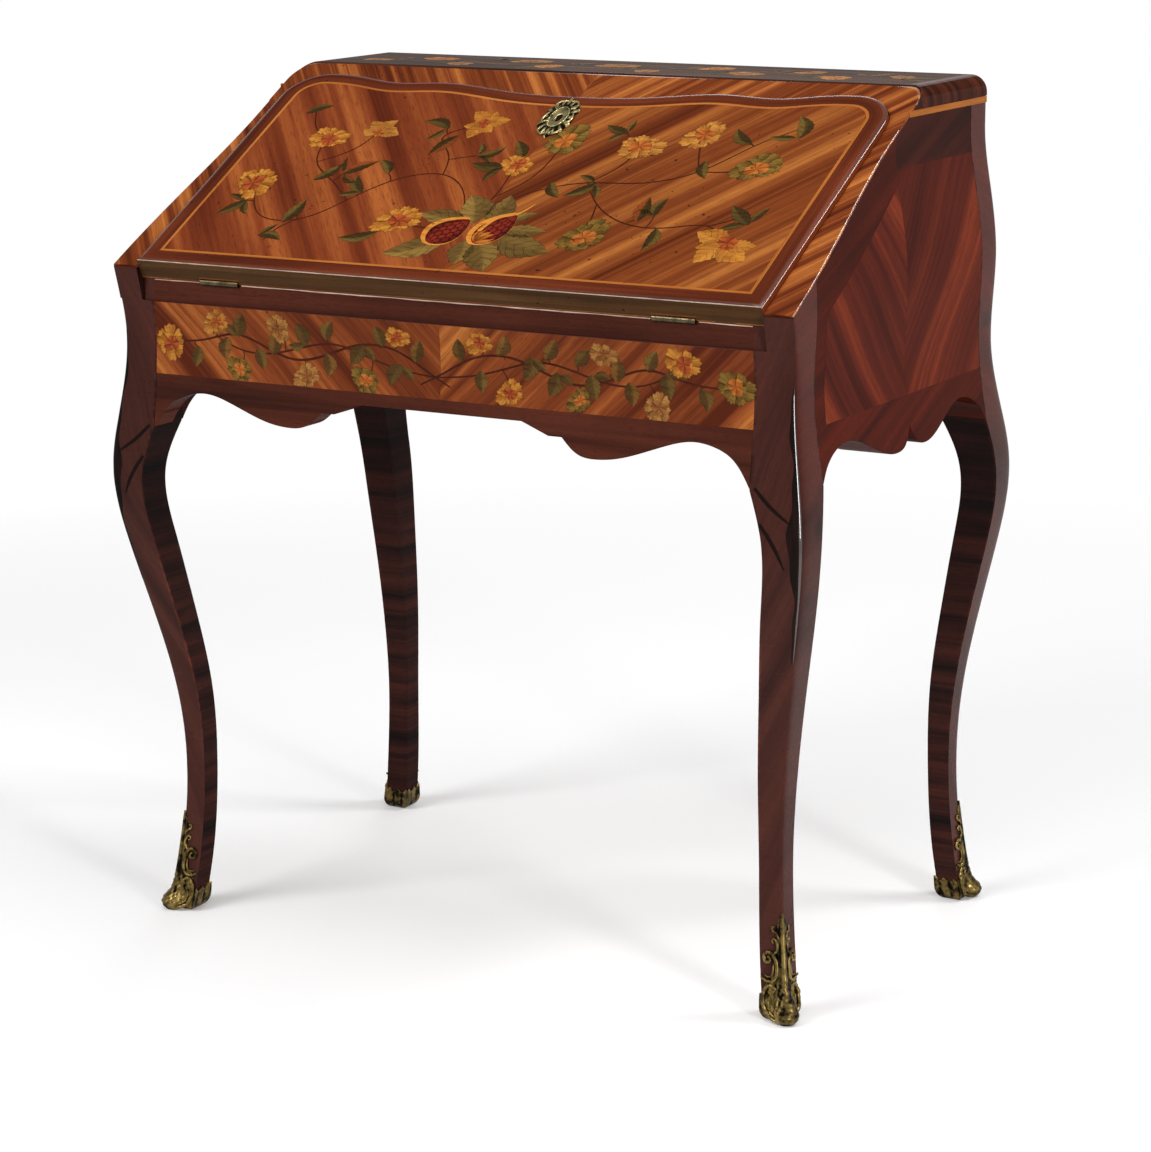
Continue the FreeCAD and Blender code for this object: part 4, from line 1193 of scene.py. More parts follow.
    def dark_streaks(self) -> Shell:
        """Dark streaks in the front's veneer at the knee: ribbons along splines of the way in and the height.

        Returns:
            The streaks.
        """
        def on_leg(away: Array, z: Array, lift: float) -> Array:
            """Points on the front at a way in from the arris."""
            return self.to_desk(LINES.reach("side", z) - away, self.reach_y(z) + lift, z)

        wide = 4.2 * np.sin(np.linspace(0.25, 0.98, 40) * math.pi) ** 0.7
        return Shell.joined([ribbon(spline(knots, 40), wide, on_leg, 0.12, WHITE).facing(FRONTWARDS)
                             for knots in self.streaks])

    def dress(self, bench: Bench) -> None:
        """Makes the leg's veneer, and at the front its wear.

        Args:
            bench: makes the pieces.
        """
        outer, inner = self.build()
        node = self.corner.label.replace("_", "_leg_")
        bench.place(node + "_veneer", outer, "leg_wood", "purplewood", (node,), closed=True, sharp=50.0,
                    inside=(inner, "leg_inside"))
        if self.corner.front:
            for word, finish, shell in (("_wear", "black_wear", self.worn_arris(*self.wear)),
                                        ("_worn_arris", "worn_arris", self.worn_arris(*self.rub)),
                                        ("_streaks", "black_wear", self.dark_streaks())):
                bench.place(node + word, shell, finish, "purplewood")


@dataclass
class Sabot:
    """A cast mount on a foot: a low cup, a ribbed body up the arris with its toe curled out, and scrolls in pairs."""

    leg: CabrioleLeg
    height: float = 112.0
    rim: float = 27.0
    wall: float = 3.0
    bowl: Point = (7.0, 13.0)
    widths: Table = (
        (0, 4, 9, 15, 25, 36, 42, 46, 50, 58, 64, 70, 76, 82, 86, 92, 98, 105, 112),
        (9, 14, 18.5, 22, 24.5, 22, 21, 13, 10.5, 10, 13, 11, 6, 7.5, 5.5, 9, 7, 4, 0.6))
    ridge: Table = (
        (0, 4, 9, 14, 18, 22, 28, 36, 45, 60, 80, 104, 112),
        (8, 12.5, 15, 13.5, 10.5, 7.5, 5, 3.6, 3, 2.6, 2.2, 1.4, 0.8))
    swell: Table = ((0, 20, 45, 112), (13.0, 11.0, 6.0, 5.0))
    rib_pitch: Table = ((0, 30, 60, 112), (0.9, 0.75, 1.3, 1.5))
    rib_height: Table = ((0, 6, 40, 60, 112), (0.3, 0.8, 0.5, 0.6, 0.4))
    scrolls: tuple[tuple[Points, float], ...] = (
        (((26, 44), (20, 41), (12, 41.5), (8, 47), (7, 57), (10, 67), (16, 70.5), (21, 66.5), (19.5, 60.5), (15, 60.5),
          (14.5, 64.5), (17.5, 65.5)), 2.1),
        (((22, 46), (14, 46), (11.5, 52), (11, 58)), 1.2),
        (((15, 69), (9, 70), (5.5, 75), (6, 81), (10, 84.5), (11.5, 81.5), (9.5, 80)), 1.4),
        (((4, 86), (7, 91), (10.5, 93), (11, 96.5), (8, 97)), 1.2),
        (((13, 30), (10, 33), (14, 36.5), (20.5, 34), (24.5, 24), (22.5, 12), (14, 4.5), (4, 3)), 2.3),
        (((15, 27), (18.5, 20), (16.5, 11), (8, 6.5)), 1.5))

    def cup(self) -> Shell:
        """Low cup round the foot: its section moved out by a wall, a bowl below, its upper edge scalloped.

        Returns:
            The cup with its lip, lining and sole.
        """
        turn = np.linspace(0, 4, 96, endpoint=False)[None, :]
        part = turn % 1.0
        rise = rows(0, 1, 17) ** 1.4
        z = rise * (self.rim - 5.0 * np.abs(np.sin(part * math.pi * 2.5)))
        across = LINES.reach("inner_side", z), LINES.reach("side", z), np.interp(turn, range(5), (0, 1, 1, 0, 0))
        depth = self.leg.reach_y(z, True), self.leg.reach_y(z), np.interp(turn, range(5), (0, 0, 1, 1, 0))

        def ring(wall: Array) -> Array:
            """The foot's section moved out by a wall."""
            x, y = (low - wall + share * (high - low + 2 * wall) for low, high, share in (across, depth))
            return self.leg.to_desk(x, y, z)

        wall = self.wall * (0.75 + 0.25 * np.cos(part * math.pi * 5) * np.sin(rise * math.pi)) * (1 - 0.35 * rise)
        drawn, tall = self.bowl
        wall = wall - drawn * (1 - np.sqrt(1 - np.clip(1 - z / tall, 0.0, 1.0) ** 2))
        outer, inner = ring(wall), ring(np.minimum(wall - 1.0, -0.6))
        shade = (0.25 + 0.5 * ramp(np.abs(np.cos(part * math.pi * 2.5)), 0.1, 0.7))[..., None]
        rest = (np.stack((outer[-1], inner[-1])), inner[::-1], np.stack((inner[0], outer[0])))
        skin = Shell.grid(outer, tint=shade, closed=True)
        return Shell.joined([skin] + [Shell.grid(grid, closed=True) for grid in rest])

    def rise(self, way: Array, z: Array) -> Array:
        """How far the casting stands off: by height over the arris, a bell sideways, fanned ribs and a chased foot.

        Args:
            way: the way from the arris.
            z: heights.
        Returns:
            The distances.
        """
        swell = bell(way, np.interp(z, *self.swell))
        fan = np.cos(way * np.interp(z, *self.rib_pitch)) * np.interp(z, *self.rib_height)
        chased = 0.55 * np.sin(1.05 * way + 0.3 * z) * np.sin(0.75 * z - 0.25 * way)
        chased = chased * ramp(z, 2, 8) * (1 - ramp(z, 36, 48))
        spine = 1.2 * bell(way, 1.5) * ramp(z, 18, 40)
        return 1.0 + (np.interp(z, *self.ridge) - 1.0) * swell + fan * (1 - 0.6 * swell) + spine + chased

    def shield(self) -> Shell:
        """Body up the arris: a strip on both faces, its half width by height, lifted by its rise, thin at its rim.

        Returns:
            The body, dark in its hollows.
        """
        z = rows(0, 1, 110) * self.height
        across = columns(-1, 1, 61)
        way = across * np.interp(z, *self.widths) * (1 + 0.03 * np.cos(z * 1.1))
        edge = np.sqrt(np.clip((1 - np.abs(across)) * 6.0, 0.0, 1.0))
        rise = self.rise(way, z)
        dip = rise - np.interp(z, *self.ridge) * bell(way, 9.0)
        shade = 0.85 * ramp(dip, -0.6, 1.2) * edge * (1 - 0.35 * bell(way, 3.5) * ramp(z, 18, 40))
        shade = np.clip(0.02 + shade + 0.24 * bell(way, 7.0), 0, 1)
        return slab(self.leg.skin(way, z, 0.3 + rise * edge), self.leg.skin(way, z, -0.6), np.zeros(way.shape + (2,)),
                    shade[..., None])

    def scroll(self, side: float, knots: Points, thick: float) -> Shell:
        """Scroll on one side of the arris: a round bar along the spline through some points, thinner at its ends.

        Args:
            side: side of the arris.
            knots: the points, as ways from the arris and heights.
            thick: radius of the bar.
        Returns:
            The scroll.
        """
        way, z = (spline(knots, 60) * (side, 1.0)).T
        share = np.linspace(0, 1, len(way))
        line = self.leg.skin(way, z, np.minimum(self.rise(way, z), 6.0) + 0.35 * thick)
        return tube(line, thick * (0.45 + 0.55 * np.sin(share * math.pi) ** 0.6),
                    self.leg.to_desk(*self.leg.outward(way).T), 10)

    def dress(self, bench: Bench) -> None:
        """Makes the casting.

        Args:
            bench: makes the piece.
        """
        name = "sabot_" + self.leg.corner.label
        parts = [self.cup(), self.shield()]
        parts += [self.scroll(side, knots, thick) for side in (-1.0, 1.0) for knots, thick in self.scrolls]
        bench.place(name + "_casting", Shell.joined(parts), "gilt_brass", "gilt_brass", (name,), closed=True,
                    sharp=60.0)


# Case

@dataclass
class Side:
    """A bowed side of the case: board with a two-lobed lower edge, quartered field and a light string under the top."""

    across: float
    cusp: Point = (2.74, 581.0)
    lobe: float = 558.0
    arch: float = 588.0
    curve: Points = ((0.07, 0.16), (0.17, 0.0), (0.33, 0.21), (0.53, 0.76), (0.67, 1.0), (0.83, 0.84), (0.94, 0.4))
    field_foot: float = 612.0
    field_top: float = 842.0
    field_front: float = -187.0
    border: float = 44.0
    slant: float = 49.0
    string: Point = (891.0, 897.6)
    border_tint: Rgb = (1.6, 1.0, 0.66)

    def lower_edge(self, y: Array) -> Array:
        """Height of the board's lower edge: on each side of the cusp a spline through shares of the way to the post.

        Args:
            y: places in depth.
        Returns:
            The heights.
        """
        heights = []
        for post in (-LINES.front_post_back, LINES.back_post_front):
            points = [(self.cusp[0] + (post - self.cusp[0]) * u, self.lobe + (self.arch - self.lobe) * h)
                      for u, h in self.curve]
            line = spline([self.cusp] + points + [(post, LINES.spring)], 300)
            heights.append(np.interp(y, *line[np.argsort(line[:, 0])].T))
        return np.where(y < self.cusp[0], *heights)

    def on_side(self, y: Array, z: Array, lift: float) -> Array:
        """Points on the outside at a depth and a height."""
        return stacked(LINES.case_side(z) + lift, y, z)

    def board(self) -> Shell:
        """Board: outside on the case's line, inside flat, from the lower edge to the top or the slope.

        Returns:
            The board, darker in the block behind the field.
        """
        middle = self.cusp[0]
        y = np.unique(np.concatenate((np.linspace(-LINES.front_post_back, middle, 110),
                                      np.linspace(middle, LINES.back_post_front, 100))))[None, :]
        low = self.lower_edge(y)
        z = low + rows(0, 1, 70) * (np.minimum(LINES.top_underside, SLOPE.height(y, LINES.banding)) - low)
        block = ramp(z, self.field_top - 0.5, self.field_top + 0.5) * ramp(y, middle, middle + 1.0)
        return slab(self.on_side(y, z, 0.0), stacked(LINES.inner_half, y, z), turned(y, z, 20.0),
                    blend(self.border_tint, WHITE, block))

    def quartered(self) -> Shell:
        """Field of two leaves of veneer whose stripes fall towards the middle joint.

        Returns:
            The two leaves.
        """
        joint, back, sheets = self.cusp[0], LINES.back_post_front - 1.0, []
        for k, (start, end) in enumerate(((self.field_front, joint - 0.15), (joint + 0.15, back))):
            y = columns(start, end, 60)
            high = np.minimum(self.field_top, SLOPE.height(y) - self.border * 1.14)
            z = self.field_foot + rows(0, 1, 60) * (high - self.field_foot)
            grain = turned(y, z, (-self.slant, self.slant)[k]) + k * 700.0
            sheets.append(Shell.grid(self.on_side(y, z, 0.12), grain))
        return Shell.joined(sheets).facing(RIGHTWARDS)

    def string_line(self) -> Shell:
        """Light string under the top's edge.

        Returns:
            The string.
        """
        z = rows(*self.string, 4)
        y = columns(float(SLOPE.depth(self.string[0])) + 6.0, LINES.back_plane - 0.4, 40)
        return Shell.grid(self.on_side(y, z, 0.14), stacked(y, z)).facing(RIGHTWARDS)

    def dress(self, bench: Bench) -> None:
        """Makes the side's pieces.

        Args:
            bench: makes the pieces.
        """
        word = "right" if self.across > 0 else "left"
        for name, shell, finish, slot, nodes in (
                ("side_board_", self.board(), "side_purplewood", "purplewood", ("side_board_" + word,)),
                ("side_field_", self.quartered(), "side_tulipwood", "tulipwood", ()),
                ("side_string_", self.string_line(), "stringing", "stringing", ())):
            bench.place(name + word + "_veneer", shell if self.across > 0 else shell.mirrored(), finish, slot, nodes,
                        closed=bool(nodes), bevel=0.8 if nodes else 0.0)


@dataclass
class Front:
    """Front rail with its shaped apron and the marquetry field between the posts."""

    back: float = 227.2
    flat: float = 600.0
    flat_share: float = 0.27
    ledge: float = 588.0
    ledge_shares: Point = (0.36, 0.404)
    lobe: float = 569.5
    arch: float = 596.0
    curve: Points = ((0.465, 0.08), (0.522, 0.0), (0.58, 0.09), (0.66, 0.4), (0.735, 0.755), (0.818, 1.0),
                     (0.881, 0.89), (0.934, 0.58))
    field: Point = (613.5, 690.6)
    slant: float = 44.0
    hinge_rail: Point = (252.62, 714.8)
    arrises: Points = ((-355.0, -297.0), (-243.0, 243.0), (297.0, 355.0))

    @property
    def marks(self) -> Array:
        """Places across where the apron's flat middle ends and where its ledge starts and ends."""
        return LINES.inner_half * np.array((self.flat_share, *self.ledge_shares))

    def lower_edge(self, x: Array) -> Array:
        """Height of the apron: flat middle, an ogee to a small ledge, then a lobe and an arch to the post.

        Args:
            x: places across.
        Returns:
            The heights.
        """
        half = LINES.inner_half
        start, inner, outer = self.marks
        middle = ((start + inner) / 2, (self.flat + self.ledge) / 2)
        ogee = spline(((start, self.flat), middle, (inner, self.ledge)), 40)
        points = [(outer, self.ledge)] + [(half * u, self.lobe + (self.arch - self.lobe) * h) for u, h in self.curve]
        whole = np.concatenate((((0.0, self.flat),), ogee, spline(points + [(half, LINES.spring)], 400)))
        return np.interp(np.abs(x), *whole[np.argsort(whole[:, 0], kind="stable")].T)

    def on_front(self, x: Array, z: Array, lift: float) -> Array:
        """Points on the rail's hollow face at a place across and a height."""
        return stacked(x, -LINES.reach("front", z) - lift, z)

    def rail(self) -> Shell:
        """Rail: outside hollow like the posts, inside flat, from the apron up to the hinge rail.

        Returns:
            The rail.
        """
        x = both_sides(np.unique(np.concatenate((np.linspace(0, LINES.inner_half, 240), self.marks))))
        low = self.lower_edge(x)
        z = low + rows(0, 1, 36) * (LINES.rail_head - low)
        return slab(self.on_front(x, z, 0.0), stacked(x, -self.back, z), stacked(x, z))

    def veneer(self) -> Shell:
        """Field: two leaves of veneer with stripes that fall to the middle.

        Returns:
            The two leaves.
        """
        z, sheets = rows(*self.field, 24), []
        for k, (start, end) in enumerate(((-LINES.inner_half, -0.1), (0.1, LINES.inner_half))):
            x = columns(start, end, 60)
            grain = turned(x, z, (-self.slant, self.slant)[k]) + 900.0 + 300.0 * k
            sheets.append(Shell.grid(self.on_front(x, z, 0.1), grain))
        return Shell.joined(sheets).facing(FRONTWARDS)

    def rail_arris(self) -> Shell:
        """Painted highlight on the hinge rail's upper arris between the hinges: a narrow strip on its face, its width a
        slow sine.

        Returns:
            The strips.
        """
        depth, top = self.hinge_rail
        parts = []
        for start, end in self.arrises:
            x = columns(start, end, 120)
            z = top - rows(0, 1, 2) * (1.1 + 0.4 * np.sin(x / 13.0) * np.sin(x / 37.0))
            parts.append(Shell.grid(stacked(x, -depth, z), stacked(x, z)).facing(FRONTWARDS))
        return Shell.joined(parts)

    def dress(self, bench: Bench) -> None:
        """Makes the rail's pieces.

        Args:
            bench: makes the pieces.
        """
        bench.place("frieze_rail_veneer", self.rail(), "purplewood", "purplewood", ("frieze_rail",), closed=True,
                    bevel=0.9)
        bench.place("frieze_field_veneer", self.veneer(), "frieze_tulipwood", "tulipwood")
        bench.place("hinge_rail_highlight", self.rail_arris(), "pale_arris", "purplewood")


@dataclass
class Fall:
    """The fall front: rounded dark edging, light string, book-matched field and the strips on its edges."""

    half: float = 370.0
    foot: float = 3.0
    centre: float = 338.0
    rise: float = 24.0
    corner: float = 48.0
    crest: Points = ((0.0, 0.0), (0.25, 0.17), (0.4, 0.5), (0.53, 0.68), (0.74, 0.55), (0.86, 0.83), (0.94, 0.98),
                     (1.0, 1.0))
    proud: float = 7.0
    seat: float = 0.0
    sunk: float = 16.0
    band: float = 19.0
    string: float = 3.2
    slant: float = 52.0
    bow: Point = (8.5, 3.0)
    bolt_room: float = 14.0
    # Painted light: the edge strip's tint brightens it against the shade that it lies in.
    strip_tint: Rgb = (1.7, 1.5, 1.4)
    foot_strips: tuple[Triple, ...] = ((-369.9, -295.2, -14.5), (-295.2, -245.0, -10.5), (-245.0, 245.0, -14.5),
                                       (245.0, 295.2, -10.5), (295.2, 369.9, -14.5))

    def crest_line(self, grow: float) -> Array:
        """Right half of the upper edge from the middle to the side: the crossbow curve, then the round corner.

        Args:
            grow: how far the line lies outside the fall's own edge.
        Returns:
            Points across and up the slope.
        """
        corner_x = self.half - self.corner
        knots = np.array([(corner_x * u, self.foot + self.centre + grow + self.rise * h) for u, h in self.crest])
        curve = spline(np.concatenate((knots[:0:-1] * (-1, 1), knots)), 401)[200:]
        radius = self.corner + grow
        turn = np.linspace(0, QUARTER, 28)[1:]
        arc = stacked(corner_x + radius * np.sin(turn), knots[-1, 1] - radius + radius * np.cos(turn))
        return np.concatenate((curve, arc))

    def crest_at(self, x: Array, grow: float) -> Array:
        """Height up the slope of the fall's edge at a place across."""
        return np.interp(x, *self.crest_line(grow).T)

    def outline(self, grow: float) -> Array:
        """Whole edge from the middle of the crest, right side, foot, left side and back, closed.

        Args:
            grow: how far the line lies outside the fall's own edge.
        Returns:
            Points across and up the slope.
        """
        right = self.crest_line(grow)
        side = stacked(self.half + grow, np.linspace(right[-1, 1], self.foot - grow, 30)[1:])
        foot = stacked(np.linspace(self.half + grow, 0.0, 40)[1:], self.foot - grow)
        half = np.concatenate((right, side, foot))
        return np.concatenate((half, half[-2:0:-1] * (-1, 1)))

    def swept(self, profile: list[Point]) -> Shell:
        """A closed profile of growth and height carried round the fall's edge.

        Args:
            profile: its points.
        Returns:
            The moulding.
        """
        grow, out = np.array(profile + profile[:1]).T[..., None]
        lines = np.stack([self.outline(step) for step in grow[:, 0]])
        along = np.cumsum(np.linalg.norm(np.diff(lines[0], axis=0, append=lines[0][:1]), axis=1))[None, :]
        return Shell.grid(SLOPE.at(lines[..., 0], lines[..., 1], out), stacked(along, grow), closed=True)

    def edging(self) -> Shell:
        """Dark edging: flat, then a quarter of an ellipse to its outer side, closed underneath.

        Returns:
            The edging.
        """
        wide, tall = self.bow
        bow = [(-wide + wide * math.sin(turn), self.proud - tall + tall * math.cos(turn))
               for turn in np.linspace(0, QUARTER, 12)]
        flat = [(-self.band, self.proud), (-self.band + 0.6, self.proud), (-wide - 0.6, self.proud)]
        return self.swept([(-self.band, self.seat)] + flat + bow + [(0.0, self.seat)])

    def stringing(self) -> Shell:
        """Light string just inside the edging."""
        inner, low, high = -self.band - self.string, self.proud - 2.0, self.proud + 0.03
        return self.swept([(inner, low), (inner, high), (-self.band, high), (-self.band, low)])

    def field_sheet(self, side: float) -> Shell:
        """One leaf of the field: a fan of columns from the foot to the crest, grain falling to the middle.

        Args:
            side: minus one for the left leaf, one for the right.
        Returns:
            The leaf.
        """
        inset = self.band + self.string
        low = self.foot + inset
        x = columns(0.08, self.half - inset - 0.02, 120)
        up = low + rows(0, 1, 70) * (self.crest_at(x, -inset) - low)
        grain = turned(x, up, self.slant) + (0.0 if side < 0 else 2400.0)
        return Shell.grid(SLOPE.at(x * side, up, self.proud), grain).facing(SLOPE.normal)

    def edge_strip(self) -> Shell:
        """Lighter strip on the sides and the crest under the edging, its tint painted light against its shade, with
        room at the middle for the bolt.

        Returns:
            The strip.
        """
        right = self.outline(0.12)[:len(self.crest_line(0.0)) + 29]
        right = right[right[:, 0] > self.bolt_room]
        out = rows(self.proud - self.bow[1] - 0.1, -self.sunk + 0.1, 5)
        along = np.cumsum(np.linalg.norm(np.diff(right, axis=0, prepend=right[:1]), axis=1))[None, :]
        points = SLOPE.at(right[None, :, 0], right[None, :, 1], out)
        strip = Shell.grid(points, stacked(along, out), self.strip_tint).facing(RIGHTWARDS)
        return Shell.joined((strip, strip.mirrored()))

    def foot_strip(self) -> Shell:
        """Brown strip on the foot of the fall, cut away for the hinges' knuckles.

        Returns:
            The strip.
        """
        parts = []
        for start, end, low in self.foot_strips:
            x, out = columns(start, end, 40), rows(self.proud - 0.6, low, 5)
            parts.append(Shell.grid(SLOPE.at(x, self.foot - 0.12, out), stacked(x, out)).facing((0, -1, -0.2)))
        return Shell.joined(parts)

    def foot_arris(self) -> Shell:
        """Painted highlight on the lower arris of the edging: a narrow strip bent over the corner of its face and its
        foot.

        Returns:
            The strip.
        """
        x = rows(-self.half + 1.0, self.half - 1.0, 160)
        wide = 0.75 + 0.25 * np.sin(x / 9.0) * np.sin(x / 31.0)
        up = self.foot - 0.1 + np.array((0.9, 0.15, 0.0, 0.0)) * wide
        out = self.proud + 0.1 - np.array((0.0, 0.0, 0.15, 0.9)) * wide
        return Shell.grid(SLOPE.at(x, up, out), stacked(x, up)).facing(SLOPE.normal)

    def dress(self, bench: Bench) -> None:
        """Makes the fall's pieces.

        Args:
            bench: makes the pieces.
        """
        bench.place("fall_edging", self.edging(), "edging_wood", "purplewood", ("lid_banding",), "fall", True,
                    arris="edging_arris")
        bench.place("fall_string", self.stringing(), "stringing", "stringing", ("lid_stringing",), "fall", True)
        for word, shell, finish, slot, nodes in (
                ("field_left", self.field_sheet(-1.0), "tulipwood", "tulipwood", ("lid_field",)),
                ("field_right", self.field_sheet(1.0), "golden_tulipwood", "tulipwood", ("lid_field",)),
                ("edge_strip", self.edge_strip(), "golden_tulipwood", "tulipwood", ()),
                ("foot_strip", self.foot_strip(), "fall_foot", "oak", ()),
                ("foot_arris", self.foot_arris(), "pale_arris", "purplewood", ())):
            bench.place("fall_" + word, shell, finish, slot, nodes, "fall")


@dataclass
class Top:
    """Top board with rounded ends, dark in the middle and banded, and the banding on the slope round the fall."""

    surface: float = 919.7
    split: float = 315.7
    gap: float = 1.2
    arris: float = 1.7
    slant: float = 52.0
    end_tint: Rgb = (1.0, 0.58, 0.52)

    def board(self) -> Shell:
        """Board: the outline of the end, with its two quarter rounds, carried from the slope to the back.

        Returns:
            The board.
        """
        radius, neck = LINES.top_round, LINES.neck_half
        turn = np.linspace(0, QUARTER, 16)
        bend = stacked(neck - radius + radius * np.cos(turn), self.surface - radius + radius * np.sin(turn))
        right = np.concatenate((((neck, LINES.top_underside),), bend))
        crown = stacked(np.linspace(neck - radius, radius - neck, 60)[1:-1], self.surface)
        x, z = np.concatenate((right, crown, right[::-1] * (-1, 1))).T[:, None]
        start = SLOPE.depth(z, LINES.banding)
        y = start + rows(0, 1, 30) * (LINES.back_plane - start)
        points = stacked(x, y, z)
        ends = blend(WHITE, self.end_tint, ramp(np.abs(x), neck - radius - 3.0, neck - radius + 3.0))
        return Shell.joined((Shell.grid(points, stacked(x + z, y), ends, True), Shell.cap(points[0]),
                             Shell.cap(points[-1][::-1])))

    def stile(self) -> Shell:
        """Right-hand banding from the fall's side to the case's: flat, then an elliptic quarter at its outer arris.

        Returns:
            The banding.
        """
        up = rows(2.0, self.split - 0.15, 90)
        limit = LINES.case_side(SLOPE.at(0.0, up, 0.0)[..., 2])
        turn = columns(0, QUARTER, 9)[:, 1:]
        flat = LINES.fall_side + columns(0, 1, 12) * (limit - self.arris - LINES.fall_side)
        x = np.concatenate((flat, limit - self.arris + self.arris * np.sin(turn)), axis=1)
        out = np.concatenate((0 * flat, 0 * limit - LINES.banding + LINES.banding * np.cos(turn)), axis=1)
        return slab(SLOPE.at(x, up, out), SLOPE.at(x, up, -LINES.banding), turned(x, up, self.slant))

    def head(self, fall: Fall) -> Shell:
        """Banding over the fall: columns across from the fall's crest to the top's front arris.

        Args:
            fall: the fall.
        Returns:
            The banding.
        """
        neck, side = LINES.neck_half, LINES.fall_side
        x = both_sides(np.concatenate((np.linspace(0, side, 190), np.linspace(side + 0.05, neck - 0.2, 24))))
        low = np.where(np.abs(x) < side, fall.crest_at(np.abs(x), self.gap), self.split)
        low = np.maximum(low, self.split)
        peak = self.surface - LINES.top_round + LINES.quarter_round(np.abs(x) - (neck - LINES.top_round))
        high = (peak - SLOPE.foot_z) * SLOPE.length / SLOPE.rise
        up = low + rows(0, 1, 14) * np.maximum(high - low, 0.05)
        near = np.clip(1 - (high - up) / self.arris, 0, 1)
        out = -LINES.banding * (1 - np.sqrt(1 - near ** 2))
        grain = turned(np.abs(x), up, self.slant) + np.where(x < 0, 500.0, 0.0)[..., None]
        return slab(SLOPE.at(x, up, out), SLOPE.at(x, up, -LINES.banding), grain)

    def dress(self, bench: Bench, fall: Fall) -> None:
        """Makes the top's pieces.

        Args:
            bench: makes the pieces.
            fall: the fall that the banding goes round.
        """
        bench.place("top_board_veneer", self.board(), "top_wood", "purplewood", ("top_board",), closed=True, sharp=30.0)
        stile = self.stile()
        for name, node, shell in (("slope_stile_right_veneer", "slope_banding_right", stile),
                                  ("slope_stile_left_veneer", "slope_banding_left", stile.mirrored()),
                                  ("slope_head_veneer", "slope_banding_head", self.head(fall))):
            bench.place(name, shell, "banding_tulipwood", "tulipwood", (node,), closed=True, arris="banding_arris")


# Marquetry

LEAF = tone(126, 101, 48)
DARK_LEAF = tone(64, 49, 24)
CUT_LINE = tone(58, 30, 15)
STALK = tone(74, 34, 20)


class Bloom(Enum):
    """Woods of a flower: its petals, light and burnt, and its heart, light and burnt."""

    GOLD = (tone(208, 140, 56), tone(152, 78, 30), tone(186, 92, 44), tone(126, 52, 26))
    STRAW = (tone(202, 138, 62), tone(148, 82, 34), tone(196, 112, 48), tone(138, 64, 28))
    OLIVE = (tone(138, 106, 46), tone(78, 58, 26), tone(200, 120, 52), tone(150, 72, 30))
    TAN = (tone(184, 128, 66), tone(128, 82, 42), tone(164, 104, 54), tone(112, 66, 34))


def heading(angle: float) -> Array:
    """Step of length one in a plane, at an angle."""
    return np.array((math.cos(angle), math.sin(angle)))


